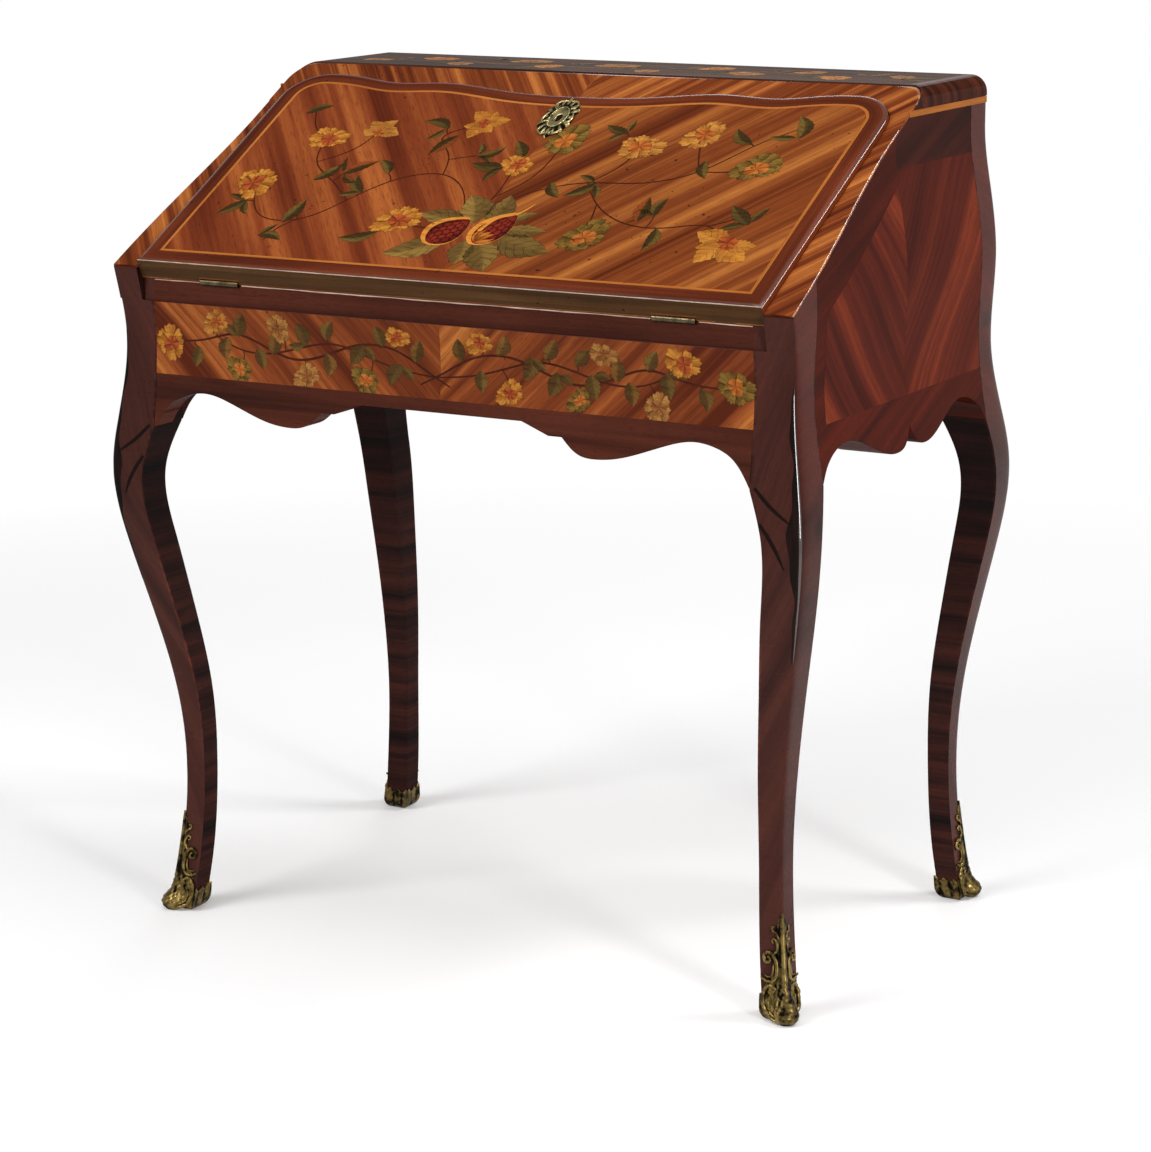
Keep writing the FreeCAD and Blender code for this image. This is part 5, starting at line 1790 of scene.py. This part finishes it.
@dataclass
class Marquetry:
    """Flowers, leaves and stems laid on a surface that is given by two coordinates and a lift."""

    surface: Surface
    facing: Triple
    lift: float = 0.16
    seed: int = 7

    def __post_init__(self) -> None:
        """Starts the seeded choice of small differences."""
        self.chance = np.random.default_rng(self.seed)
        self.parts: list[Shell] = []
        self.paths: list[Array] = []

    def lay(self, flat: Array, tint: Array, lift: float, phase: Array = 0.0, depth: Array = 0.0) -> None:
        """Puts a flat grid of points on the surface.

        Args:
            flat: its points as rows, columns and two coordinates.
            tint: one colour, or a colour for each point.
            lift: height over the other marquetry.
            phase: place in the row of engraved lines, which are cut at whole numbers.
            depth: how deep the lines are cut.
        """
        points = self.surface(flat[..., 0], flat[..., 1], self.lift + lift)
        self.parts.append(Shell.grid(points, stacked(phase, depth) / MM, tint).facing(self.facing))

    def strip(self, path: Array, width: Array, lift: float, tint: Rgb) -> None:
        """Puts a ribbon on the surface."""
        self.parts.append(ribbon(path, width, self.surface, self.lift + lift, tint).facing(self.facing))

    def disc(self, centre: Array, radius: float, petals: int, light: Rgb, burnt: Rgb, lift: float) -> None:
        """Frilled round of petals on a polar grid.

        The rim is the radius times a lobe for each petal and a finer frill, drawn out to two sides. Each petal goes
        from burnt at one seam, and towards the middle, to light at the other, and the seams are cut.

        Args:
            centre: its middle.
            radius: its radius.
            petals: number of petals.
            light: wood of the petals.
            burnt: their burnt shade.
            lift: height over the other marquetry.
        """
        turn = columns(0, TURN, 20 * petals + 1)
        way = np.append(np.linspace(0, 0.94, 9), 1.0)[:, None]
        start = self.chance.uniform(0, 6.28)
        phase = petals * turn / TURN + 0.3 * np.sin(turn + start)
        lobes = 0.13 * np.abs(np.sin(math.pi * phase)) ** 0.6 + 0.045 * np.cos(6 * math.pi * phase + start)
        rim = radius * (0.83 + lobes) * (1 + 0.16 * np.cos(2 * turn + start) + 0.09 * np.cos(3 * turn - start))
        flat = stacked(centre[0] + way * rim * np.cos(turn), centre[1] + way * rim * np.sin(turn))
        tint = blend(light, burnt, 0.7 * (1 - ramp(phase % 1.0, 0.0, 0.8)) + 0.7 * (1 - way) ** 2)
        self.lay(flat, blend(tint, CUT_LINE, 0.6 * ramp(way, 0.93, 1.0)), lift, phase, ramp(way, 0.2, 0.5) * 0.8)

    def flower(self, centre: Point, radius: float, bloom: Bloom, petals: int) -> None:
        """Open flower: two rounds of petals and a heart off the middle with petals of its own.

        Args:
            centre: its middle.
            radius: its radius.
            bloom: its woods.
            petals: petals of the outer round.
        """
        light, burnt, heart, deep = bloom.value
        shift = self.chance.uniform(-0.15, 0.15, 2) * radius
        self.disc(centre, radius, petals, light, burnt, 0.04)
        self.disc(centre + shift * 0.5, radius * 0.74, petals - 2, light, burnt, 0.05)
        self.disc(centre + shift, radius * 0.5, 5, heart, deep, 0.06)

    @staticmethod
    def blade(centre: Point, length: float, angle: float, width: Array, bend: float = 0.0,
              steps: int = 19) -> tuple[Array, Array, Array]:
        """Grid along and across a pointed form.

        Args:
            centre: its middle.
            length: its length.
            angle: the way it points.
            width: half width along it as a share of the length.
            bend: how far its middle swings aside, as a share of the length.
            steps: points across it.
        Returns:
            The shares along and across, and the flat points.
        """
        along, across = rows(0, 1, len(width)), columns(-1, 1, steps)
        out = length * (along - 0.5)
        side = length * (across * np.asarray(width)[:, None] + bend * 4 * along * (1 - along))
        cosine, sine = heading(angle)
        return along, across, stacked(centre[0] + out * cosine - side * sine, centre[1] + out * sine + side * cosine)

    def leaf(self, centre: Point, length: float, angle: float, width: float, light: Rgb = LEAF, dark: Rgb = DARK_LEAF,
             lift: float = 0.02) -> None:
        """Pointed leaf: half width a sine of the way along with small teeth, one half darker, cut midrib and veins.

        Args:
            centre: its middle.
            length: its length.
            angle: the way it points.
            width: largest half width as a share of the length.
            light: wood of one half.
            dark: wood of the other.
            lift: height over the other marquetry.
        """
        place = np.linspace(0, 1, 40)
        half = width * np.sin(math.pi * place ** 0.85) ** 0.9 * (1 + 0.07 * np.sin(place * 40))
        along, across, flat = self.blade(centre, length, angle, half, self.chance.uniform(-0.16, 0.16))
        mood = self.chance.uniform(0.0, 0.6)
        tint = blend(light, dark, mood + ramp(-across, -0.1, 0.3) * 0.7 + 0.3 * (1 - along))
        tint = blend(tint, dark, 0.8 * bell(across, 0.12))
        tint = blend(tint, CUT_LINE, 0.6 * ramp(np.abs(across), 0.88, 1.0))
        self.lay(flat, tint, lift, 5.5 * along - 1.4 * np.abs(across), 0.75)

    def lily(self, centre: Point, radius: float, bloom: Bloom, start: float, spread: float, petals: int = 6) -> None:
        """Flower of pointed petals that fan out from its foot over an angle, every other one shorter.

        Args:
            centre: its foot.
            radius: length of a petal.
            bloom: its woods.
            start: the way that the first petal points.
            spread: angle over which the petals fan out.
            petals: number of petals.
        """
        light, burnt, heart, deep = bloom.value
        shade = tuple(np.add(light, burnt) / 2)
        for k in range(petals):
            angle, reach = start + spread * k / petals, radius * (1.15, 0.9)[k % 2]
            self.leaf(centre + 0.5 * reach * heading(angle), reach, angle, 0.34, light, shade, 0.04 + 0.005 * k)
        self.disc(centre, radius * 0.32, 5, heart, deep, 0.08)

    def fruit(self, centre: Point, length: float, angle: float, width: float) -> None:
        """Scaly fruit: an egg shape, dark red, with rows of scales like tiles, each edged by an arc round its root.

        Args:
            centre: its middle.
            length: its length.
            angle: the way it points.
            width: largest half width as a share of the length.
        """
        egg = width * np.sin(math.pi * np.linspace(0, 1, 100) ** 0.8) ** 0.75
        along, across, flat = self.blade(centre, length, angle, egg, steps=61)
        row = along * 7
        arc = np.hypot((row % 1.0) * 0.9, (((across * 2.3 + 0.5 * np.floor(row)) % 1.0) - 0.5) * 1.5)
        red = blend(tone(136, 44, 30), tone(84, 24, 18), ramp(np.abs(across), 0.3, 1.0))
        self.lay(flat, blend(red, tone(40, 12, 9), 0.95 * bell(arc - 0.74, 0.13)), 0.07)

    def stem(self, knots: Sequence[Point], width: float = 1.8, shade: Rgb = STALK) -> None:
        """Stem: a ribbon along the spline through some points, thinner at its ends.

        Args:
            knots: the points.
            width: its largest width.
            shade: its colour.
        """
        path = spline(knots, 30 * len(knots))
        self.paths.append(path)
        share = np.linspace(0, 1, len(path))
        self.strip(path, width * (0.55 + 0.45 * np.sin(share * math.pi) ** 0.5), 0.0, shade)

    def nearest(self, place: Point) -> Array:
        """Point of the stems that is nearest to a place."""
        stems = np.concatenate(self.paths)
        return stems[int(np.argmin(np.hypot(*(stems - place).T)))]

    def twig(self, *knots: Sequence[float]) -> None:
        """Thin stalk along the spline through some points."""
        self.strip(spline(knots, 14), np.full(14, 1.4), -0.01, STALK)

    def sprout(self, centre: Point, length: float, width: float, more: int, light: Rgb, dark: Rgb = DARK_LEAF) -> None:
        """Leaf that grows away from the nearest stem on a short stalk, and more of them beside it.

        Args:
            centre: its middle.
            length: its length.
            width: largest half width as a share of the length.
            more: number of smaller leaves beside it.
            light: wood of one half.
            dark: wood of the other.
        """
        root = self.nearest(centre)
        away = np.asarray(centre) - root
        angle = math.atan2(away[1], away[0]) + self.chance.uniform(-0.45, 0.45)
        self.leaf(centre, length, angle, width, light, dark)
        tip = np.asarray(centre) - 0.45 * length * heading(angle)
        for other in (angle + 1.25, angle - 1.2)[:more]:
            self.leaf(tip + 0.4 * length * heading(other), 0.66 * length, other, 0.9 * width, light, dark)
        if np.hypot(*(tip - root)) > 2.0:
            self.twig(root, (root + tip) / 2 + self.chance.uniform(-2, 2, 2), tip)


@dataclass
class Ornament:
    """The marquetry of the fall, the frieze and the top, with the places of its stems, leaves, flowers and fruits."""

    fall: Fall
    front: Front
    top: Top
    fall_flowers: tuple[tuple[float, float, float, Bloom], ...] = (
        (-261, 240, 23, Bloom.GOLD), (30, 259, 26, Bloom.OLIVE), (121, 252, 25, Bloom.STRAW),
        (182, 278, 24, Bloom.STRAW), (266, 229, 26, Bloom.OLIVE), (-303, 151, 27, Bloom.GOLD),
        (-96, 102, 26, Bloom.GOLD), (-7, 208, 19, Bloom.GOLD), (130, 96, 27, Bloom.OLIVE))
    fall_lilies: tuple[tuple[float, float, float, Bloom, float, float], ...] = (
        (-204, 254, 24, Bloom.STRAW, -0.1, 3.6), (-84, 281, 26, Bloom.GOLD, 0.3, 6.28),
        (290, 100, 37, Bloom.GOLD, 2.8, 4.1))
    fall_leaves: Points = (
        (-301, 292), (-140, 274), (-112, 237), (79, 282), (229, 280), (282, 301), (211, 219), (-308, 106), (-228, 106),
        (-232, 57), (-226, 178), (-191, 189), (-162, 193), (-175, 160), (-129, 72), (-49, 231), (-17, 237), (-40, 207),
        (59, 170), (87, 173), (174, 146), (192, 151), (203, 97), (284, 146))
    fall_stems: tuple[Points, ...] = (
        ((-20, 100), (-40, 150), (-85, 185), (-130, 175), (-175, 130), (-215, 92), (-260, 92), (-300, 145)),
        ((-175, 130), (-215, 165), (-250, 195), (-262, 235)), ((-250, 195), (-215, 225), (-204, 255)),
        ((-262, 235), (-290, 262), (-305, 290)), ((-85, 185), (-100, 225), (-120, 250), (-84, 280)),
        ((-20, 100), (-5, 150), (-8, 205)), ((-5, 150), (20, 185), (28, 255)),
        ((-20, 100), (30, 160), (90, 185), (150, 190), (205, 215), (250, 268), (284, 298)),
        ((90, 185), (112, 215), (121, 250)), ((205, 215), (190, 250), (182, 276)), ((205, 215), (240, 218), (266, 229)),
        ((90, 185), (118, 150), (160, 122), (215, 118), (255, 125), (290, 92)), ((118, 150), (124, 125), (130, 98)),
        ((255, 125), (275, 135), (290, 150)), ((-215, 92), (-230, 75), (-236, 52)), ((-20, 100), (-60, 92), (-96, 102)))
    fall_spray: Table = (
        (-14, 100, -77, 116, 0.22), (-6, 104, -32, 152, 0.34), (10, 106, 14, 156, 0.3), (-22, 84, -84, 44, 0.24),
        (0, 74, 8, 34, 0.36), (16, 74, 46, 26, 0.34), (36, 84, 104, 64, 0.26), (34, 96, 84, 98, 0.22),
        (28, 108, 60, 128, 0.2))
    fall_fruits: Table = ((-27, 89, 52, 0.94, 0.42), (25, 97, 58, 1.09, 0.34))
    fall_fan: Point = (13, 74)
    fall_ribbon: Points = ((8, 92), (22, 118), (36, 124), (49, 143))
    frieze_stems: tuple[tuple[float, Points], ...] = (
        (3.0, ((-18, 624), (10, 640), (50, 662), (92, 664), (130, 650), (170, 640), (210, 652), (246, 664), (285, 655),
               (332, 650))),
        (2.5, ((0, 634), (45, 640), (85, 652), (122, 662), (160, 656), (200, 645), (240, 646), (272, 660))))
    frieze_flowers: tuple[tuple[float, float, float, Bloom], ...] = (
        (-338, 648, 20, Bloom.GOLD), (-278, 676, 16, Bloom.STRAW), (-198, 676, 16, Bloom.TAN),
        (-249, 622, 16, Bloom.OLIVE), (-164, 622, 16, Bloom.TAN), (-91, 623, 17, Bloom.OLIVE),
        (-51, 677, 14, Bloom.GOLD), (46, 678, 15, Bloom.GOLD),
        (82, 624, 16, Bloom.GOLD), (162, 622, 14, Bloom.OLIVE), (190, 677, 15, Bloom.TAN), (251, 622, 17, Bloom.TAN),
        (278, 675, 19, Bloom.GOLD), (337, 652, 20, Bloom.OLIVE))
    frieze_leaves: Points = (
        (-303, 633), (-264, 646), (-247, 676), (-222, 637), (-206, 657), (-170, 671), (-134, 678), (-138, 637),
        (-101, 652), (-73, 677), (-27, 663), (-53, 632), (23, 669), (73, 679), (103, 654), (49, 634), (130, 678),
        (133, 638), (166, 672), (205, 662), (179, 639), (245, 675), (221, 635), (263, 648), (302, 636))
    frieze_middle: float = 650.0
    frieze_limits: Point = (613.8, 690.3)
    top_middle: float = 156
    top_flowers: tuple[Triple, ...] = (
        (-322, 140, 17), (-262, 178, 21), (-204, 126, 18), (-146, 188, 23), (-96, 136, 19), (-28, 174, 24),
        (34, 124, 17), (90, 186, 20), (148, 138, 22), (206, 180, 18), (258, 130, 21), (318, 170, 17))

    def on_fall(self) -> Shell:
        """Two sprays that rise from a pair of scaly fruits among broad leaves at the foot of the fall.

        Returns:
            The marquetry.
        """
        work = Marquetry(lambda x, up, lift: SLOPE.at(x, up, self.fall.proud + lift), tuple(SLOPE.normal))
        olive, gold = tone(152, 120, 60), tone(214, 138, 56)
        for knots in self.fall_stems:
            work.stem(knots)
        for k, place in enumerate(self.fall_leaves):
            light = tone(170, 82, 40) if k % 9 == 2 else LEAF
            work.sprout(place, 33.0 + 5.0 * (k % 3), 0.2, (0, 1, 0, 2)[k % 4], light)
        for x0, up0, x1, up1, width in self.fall_spray:
            centre, length = ((x0 + x1) / 2, (up0 + up1) / 2), math.hypot(x1 - x0, up1 - up0)
            work.leaf(centre, length, math.atan2(up1 - up0, x1 - x0), width, olive, tone(104, 80, 40), 0.03)
        for x, up, length, angle, width in self.fall_fruits:
            husk = width * np.sin(math.pi * np.linspace(0, 1, 30) ** 0.8) ** 0.7
            work.lay(work.blade((x - 3, up + 1), length * 1.1, angle, husk)[2], gold, 0.06)
            work.fruit((x, up), length, angle, width * 0.92)
        for k in range(5):
            angle = 0.35 + 0.36 * k
            work.leaf(self.fall_fan + 10 * heading(angle), 22.0, angle, 0.15, gold, tone(176, 96, 38), 0.08)
        work.strip(spline(self.fall_ribbon, 40), np.linspace(5.0, 1.6, 40), 0.09, gold)
        for x, up, radius, bloom in self.fall_flowers:
            work.flower((x, up), radius, bloom, 7 + radius % 3)
        for x, up, radius, bloom, start, spread in self.fall_lilies:
            work.lily((x, up), radius, bloom, start, spread)
        return Shell.joined(work.parts)

    def on_frieze(self) -> Shell:
        """Two twining stems that run from the middle to both posts.

        Returns:
            The marquetry.
        """
        def drawn_in(x: Array, z: Array, lift: float) -> Array:
            """Points on the frieze, the heights drawn in to its middle and kept inside the field."""
            z = self.frieze_middle + 0.88 * (z - self.frieze_middle)
            return self.front.on_front(x, np.clip(z, *self.frieze_limits), lift)

        work = Marquetry(drawn_in, FRONTWARDS, seed=11)
        for side in (-1, 1):
            for width, knots in self.frieze_stems:
                work.stem([(side * x - 6, z) for x, z in knots], width)
        for x, z, _, _ in self.frieze_flowers:
            root = work.nearest((x, z))
            work.twig(root, ((root[0] + x) / 2 + 3, (root[1] + z) / 2), (x, z))
        greens = tone(134, 104, 50), tone(142, 98, 46), tone(118, 92, 44)
        for k, place in enumerate(self.frieze_leaves):
            work.sprout(place, 26.0 + 2.0 * (k % 3), 0.3, (0, 0, 1)[k % 3], greens[k % 3], tone(86, 62, 30))
        for x, z, radius, bloom in self.frieze_flowers:
            work.flower((x, z), radius, bloom, 7)
        return Shell.joined(work.parts)

    def on_top(self) -> Shell:
        """A running stem along the top with flowers to both sides.

        Returns:
            The marquetry.
        """
        work = Marquetry(lambda x, y, lift: stacked(x, y, self.top.surface + lift), UPWARDS, 0.05, 5)
        knots = [(x, self.top_middle + 18 * math.sin(x / 62.0) + 7 * math.sin(x / 21.0)) for x in range(-335, 336, 30)]
        work.stem(knots, 2.6, tone(138, 98, 52))
        for k, (x, y, radius) in enumerate(self.top_flowers):
            work.sprout((x + 28, 2 * self.top_middle - y + 6 * (k % 3)), 30.0 + 6.0 * (k % 4), 0.24, 1 + k % 2,
                        (tone(150, 112, 58), LEAF)[k % 2])
            work.flower((x, y), radius, (Bloom.TAN, Bloom.STRAW, Bloom.TAN)[k % 3], 6 + k % 3)
        return Shell.joined(work.parts)

    def dress(self, bench: Bench) -> None:
        """Makes the marquetry's pieces.

        Args:
            bench: makes the pieces.
        """
        for place, shell, body in (("fall", self.on_fall(), "fall"), ("frieze", self.on_frieze(), "desk"),
                                   ("top", self.on_top(), "desk")):
            bench.place(place + "_marquetry", shell, "marquetry", "tulipwood", body=body, sharp=180.0)


@dataclass
class Escutcheon:
    """Cast plate round the keyhole: a lobed rim with flutes and scrolls, and a beaded hollow with the keyhole in it."""

    middle: float = 297.0
    level: float = 7.0
    half: Point = (18.6, 33.6)
    thickness: float = 3.0
    hollow: float = 0.54
    hole: float = 0.2
    knots: tuple[Points, ...] = (
        ((2, 30), (10, 28), (13, 20), (9, 15), (7, 20)), ((12, 12), (16.5, 2), (14.5, -9), (10, -8), (11, -2)),
        ((9, -16), (13, -22), (9, -30), (3, -32), (4, -26)))

    def on_plate(self, x: Array, up: Array, out: Array) -> Array:
        """Points over the fall's face round the keyhole."""
        return SLOPE.at(x, self.middle + up, self.level + out)

    def ring(self, way: Array, turn: Array) -> tuple[Array, Array]:
        """Places across and up at shares of the way to the rim, which is an ellipse with lobes."""
        rim = way * (1 + (0.07 * np.cos(6 * turn) + 0.05 * np.cos(10 * turn + 1.0)) * ramp(way, 0.5, 1.0))
        return rim * self.half[0] * np.sin(turn), rim * self.half[1] * np.cos(turn)

    def plate(self) -> Shell:
        """Plate on a polar grid: a dish in the middle, then a swelling that is fluted towards the rim.

        Returns:
            The plate.
        """
        turn, way = columns(0, TURN, 161)[:, :-1], rows(self.hole, 1.0, 34)
        outside = ramp(way, self.hollow, self.hollow + 0.08)
        flute = np.cos(turn * 16) * ramp(way, 0.6, 0.85)
        dish = 0.7 + 1.2 * (way / self.hollow) ** 2
        out = dish * (1 - outside) + outside * (1.5 + 0.9 * np.sin(math.pi * way ** 2) + 0.6 * flute)
        out[0], out[-1] = 0.3, 0.1
        shade = 0.8 * (1 - outside) + outside * (0.04 + 0.96 * ramp(flute, -0.3, 0.6))
        points = self.on_plate(*self.ring(way, turn), np.minimum(out, self.thickness))
        return Shell.grid(points, tint=shade[..., None], closed=True)

    def bars(self) -> list[Shell]:
        """Beaded border of the hollow and three scrolls on each side: round bars along a ring and along splines.

        Returns:
            The bars.
        """
        turn = np.linspace(0, TURN, 200)
        lines = [(self.on_plate(*self.ring(np.full(200, self.hollow), turn), 1.9), 0.75 + 0.25 * np.cos(22 * turn))]
        radius = 1.3 * (0.55 + 0.45 * np.sin(np.linspace(0, 1, 40) * math.pi))
        lines += [(self.on_plate(*spline(np.array(knots) * (side, 1.0), 40).T, 1.7), radius)
                  for side in (-1.0, 1.0) for knots in self.knots]
        return [tube(line, thick, np.tile(SLOPE.normal, (len(line), 1))) for line, thick in lines]

    def keyhole(self) -> Shell:
        """Painted shade of the opening: a flat black oval under the hole in the plate."""
        turn = np.linspace(0, TURN, 40, endpoint=False)
        return Shell.cap(self.on_plate(*self.ring(np.full(40, self.hole + 0.03), turn), 0.35))

    def dress(self, bench: Bench) -> None:
        """Makes the plate and its keyhole.

        Args:
            bench: makes the pieces.
        """
        bench.place("escutcheon_casting", Shell.joined([self.plate()] + self.bars()), "pale_brass", "gilt_brass",
                    ("escutcheon",), "fall", sharp=70.0)
        # The keyhole's black oval is painted shade standing in for the dark of the opening.
        bench.place("escutcheon_keyhole", self.keyhole(), "black_wear", "steel", body="fall")


# Parts that keep their solid shapes

class Plain(Enum):
    """Finish for the nodes that keep their own shape: name and grain."""

    OAK_X = ("oak", GrainFrom.X)
    OAK_Y = ("oak", GrainFrom.Y)
    NEST_X = ("nest_wood", GrainFrom.X)
    NEST_Z = ("nest_wood", GrainFrom.Z)
    CLEAT = ("nest_wood", GrainFrom.SLOPE)
    RAIL = ("purplewood", GrainFrom.X)
    BRASS = ("brass", GrainFrom.NONE)
    STEEL = ("steel", GrainFrom.NONE)
    LEATHER = ("writing_leather", GrainFrom.NONE)


@dataclass
class KeptParts:
    """Finishes and soft edges for the parts whose solid shapes stay; a drawer's part stands for those of all three."""

    edge: float = 0.7
    edge_angle: float = 50.0
    weld: float = 0.01
    drawers: tuple[str, ...] = ("left", "middle", "right")
    finishes: dict[Plain, tuple[str, ...]] = field(default_factory=lambda: {
        Plain.OAK_X: ("head_rail", "back_board", "bottom_board", "well_walls", "drawer_{}_back", "drawer_{}_bottom"),
        Plain.OAK_Y: ("drawer_{}_sides",),
        Plain.RAIL: ("hinge_rail",),
        Plain.NEST_X: ("bed_front", "bed_left", "bed_right", "well_cover", "nest_base", "nest_shelf", "nest_head",
                       "lid_panel", "drawer_{}_front"),
        Plain.NEST_Z: ("nest_dividers", "nest_partitions"),
        Plain.CLEAT: ("lid_cleat_left", "lid_cleat_right"),
        Plain.LEATHER: ("writing_leather",),
        Plain.BRASS: ("hinge_leaves_rail", "hinge_leaves_lid", "hinge_screws_rail", "hinge_screws_lid", "hinge_pins",
                      "drawer_{}_knob"),
        Plain.STEEL: ("lock_keeper", "lock_case", "lock_bolt")})

    def dress(self, bench: Bench, nodes: dict) -> None:
        """Gives each kept part its finish, and its visible wood a small round on the edges.

        Args:
            bench: has the finishes.
            nodes: the frame's objects by name.
        """
        for plain, patterns in self.finishes.items():
            material = bench.store.finish(*plain.value)
            for name in dict.fromkeys(pattern.format(place) for pattern in patterns for place in self.drawers):
                node = nodes[name]
                node.data.materials.clear()
                node.data.materials.append(material)
                if plain.value[1] is not GrainFrom.NONE:
                    node.modifiers.new("weld", "WELD").merge_threshold = self.weld * MM
                    soften(node, self.edge, self.edge_angle)
                log.info("%s keeps its shape", name)


# Light and camera

@dataclass
class Studio:
    """White room with a pale floor, soft lamps and the camera of the photograph."""

    eye: Triple = (1.802, -3.1315, 1.214)
    yaw: float = 29.74
    pitch: float = 13.03
    roll: float = -0.34
    lens: float = 105.75
    floor_reach: float = 30.0
    floor_level: float = -0.0004
    wall: Point = (1.0, 8.0)
    pale: tuple[Rgb, Rgb] = ((0.93, 0.93, 0.935), (0.9, 0.9, 0.905))
    glow: float = 0.16
    fade: Point = (1.0, 2.4)
    grey_light: float = 0.3
    lamps: tuple[tuple[str, Triple, Triple, Point, float], ...] = (
        ("key", (-1.5, -2.7, 2.6), (0.0, 0.0, 0.55), (1.7, 1.3), 70.0),
        ("over", (0.3, -0.7, 3.3), (0.0, -0.1, 0.7), (2.0, 1.6), 26.0),
        ("side_fill", (2.75, -1.5, 0.95), (0.2, -0.1, 0.5), (0.5, 1.8), 46.0),
        ("arris_strip", (1.8, 1.02, 2.75), (0.37, -0.1, 0.85), (0.9, 0.4), 32.0),
        ("back_fill", (-1.0, 3.0, 1.8), (0.0, 0.2, 0.6), (1.4, 1.2), 14.0))

    @staticmethod
    def stand(name: str, data: bpy.types.ID, axes: Sequence[Array], place: Sequence[float]) -> bpy.types.Object:
        """Puts a camera or a lamp in the room.

        Args:
            name: its name.
            data: the camera or the lamp.
            axes: its right, its up and its back.
            place: where it stands.
        Returns:
            The object.
        """
        made = bpy.data.objects.new(name, data)
        turn = np.eye(4)
        turn[:3] = np.stack((*axes, place), axis=1)
        made.matrix_world = Matrix(turn.tolist())
        bpy.context.scene.collection.objects.link(made)
        return made

    def camera(self) -> None:
        """Sets the camera from its place, its three angles and its lens."""
        yaw, pitch, roll = (math.radians(angle) for angle in (self.yaw, self.pitch, self.roll))
        ahead = np.array((-math.sin(yaw) * math.cos(pitch), math.cos(yaw) * math.cos(pitch), -math.sin(pitch)))
        right = np.array((math.cos(yaw), math.sin(yaw), 0.0))
        up = np.cross(right, ahead)
        right, up = math.cos(roll) * right + math.sin(roll) * up, math.cos(roll) * up - math.sin(roll) * right
        data = bpy.data.cameras.new("camera")
        data.lens, data.sensor_width, data.sensor_fit, data.clip_end = self.lens, 36.0, "HORIZONTAL", 60.0
        bpy.context.scene.camera = self.stand("camera", data, (right, up, -ahead), self.eye)

    def lamp(self, name: str, place: Triple, aim: Triple, size: Point, power: float) -> None:
        """Adds a soft rectangular lamp.

        Args:
            name: its name.
            place: where it stands.
            aim: what it looks at.
            size: its width and height.
            power: its power in watts.
        """
        data = bpy.data.lights.new(name, "AREA")
        data.shape, data.size, data.size_y, data.energy = "RECTANGLE", *size, power
        back = unit(np.subtract(place, aim))
        side = unit(np.cross(UPWARDS, back))
        self.stand(name, data, (side, np.cross(back, side), back), place)

    def floor(self) -> None:
        """Pale floor: a wide disc that keeps the desk's shadow, and far out turns up into a low white wall."""
        turn, reach = columns(0, TURN, 97)[:, :-1], self.floor_reach
        way = np.concatenate((np.linspace(0.02, reach, 24), np.full(6, reach)))[:, None]
        rise = np.concatenate((np.full(24, self.floor_level), np.linspace(*self.wall, 6)))[:, None]
        points = stacked(way * np.cos(turn), way * np.sin(turn), rise)
        disc = Shell.joined((Shell.grid(points, closed=True).facing(UPWARDS), Shell.cap(points[0])))
        material, graph, shader = start_material("pale_floor")
        place = graph.place()
        pale = graph.mix(graph.noise(place, 1.5, 3.0), *self.pale)
        graph.feed(shader, {"Base Color": pale, "Roughness": 0.7, "Specular IOR Level": 0.2})
        path = graph.add("LightPath").outputs
        seen = graph.math("MAXIMUM", path["Is Glossy Ray"], path["Is Transmission Ray"])
        seen = graph.math("MAXIMUM", path["Is Camera Ray"], seen)
        near = graph.take("Emission", {"Color": WHITE, "Strength": graph.math("MULTIPLY", seen, self.glow)})
        white = graph.take("Emission", {"Color": WHITE, "Strength": seen})
        lit = graph.take("AddShader", {0: shader.outputs[0], 1: near})
        far = graph.span(graph.take("VectorMath", {0: place}, "Value", operation="LENGTH"), *self.fade)
        whole = graph.take("MixShader", {0: far, 1: lit, 2: white})
        graph.feed(graph.tree.get_output_node("ALL"), {"Surface": whole})
        mesh = disc.mesh("floor", 1.0)
        mesh.materials.append(material)
        floor = bpy.data.objects.new("floor", mesh)
        bpy.context.scene.collection.objects.link(floor)

    def world(self) -> None:
        """An even grey light from all round."""
        world = bpy.data.worlds.new("room")
        world.use_nodes = True
        world.node_tree.nodes.clear()
        graph = Graph(world.node_tree)
        graph.add("OutputWorld", {"Surface": graph.take("Background", {"Color": WHITE, "Strength": self.grey_light})})
        bpy.context.scene.world = world

    def build(self) -> None:
        """Sets up the room."""
        self.camera()
        self.floor()
        self.world()
        for sizes in self.lamps:
            self.lamp(*sizes)
        bpy.context.scene.view_settings.view_transform = "Standard"


def main() -> None:
    """Builds the sub-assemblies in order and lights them."""
    logging.basicConfig(level=logging.INFO, format="%(name)s %(message)s")
    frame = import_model()
    bench = Bench(Store())
    fall, front, top = Fall(), Front(), Top()
    for corner in Corner:
        leg = CabrioleLeg(corner)
        leg.dress(bench)
        Sabot(leg).dress(bench)
    for across in (-1.0, 1.0):
        Side(across).dress(bench)
    front.dress(bench)
    top.dress(bench, fall)
    fall.dress(bench)
    Ornament(fall, front, top).dress(bench)
    Escutcheon().dress(bench)
    KeptParts().dress(bench, frame["nodes"])
    Studio().build()


if __name__ == "__main__":
    main()
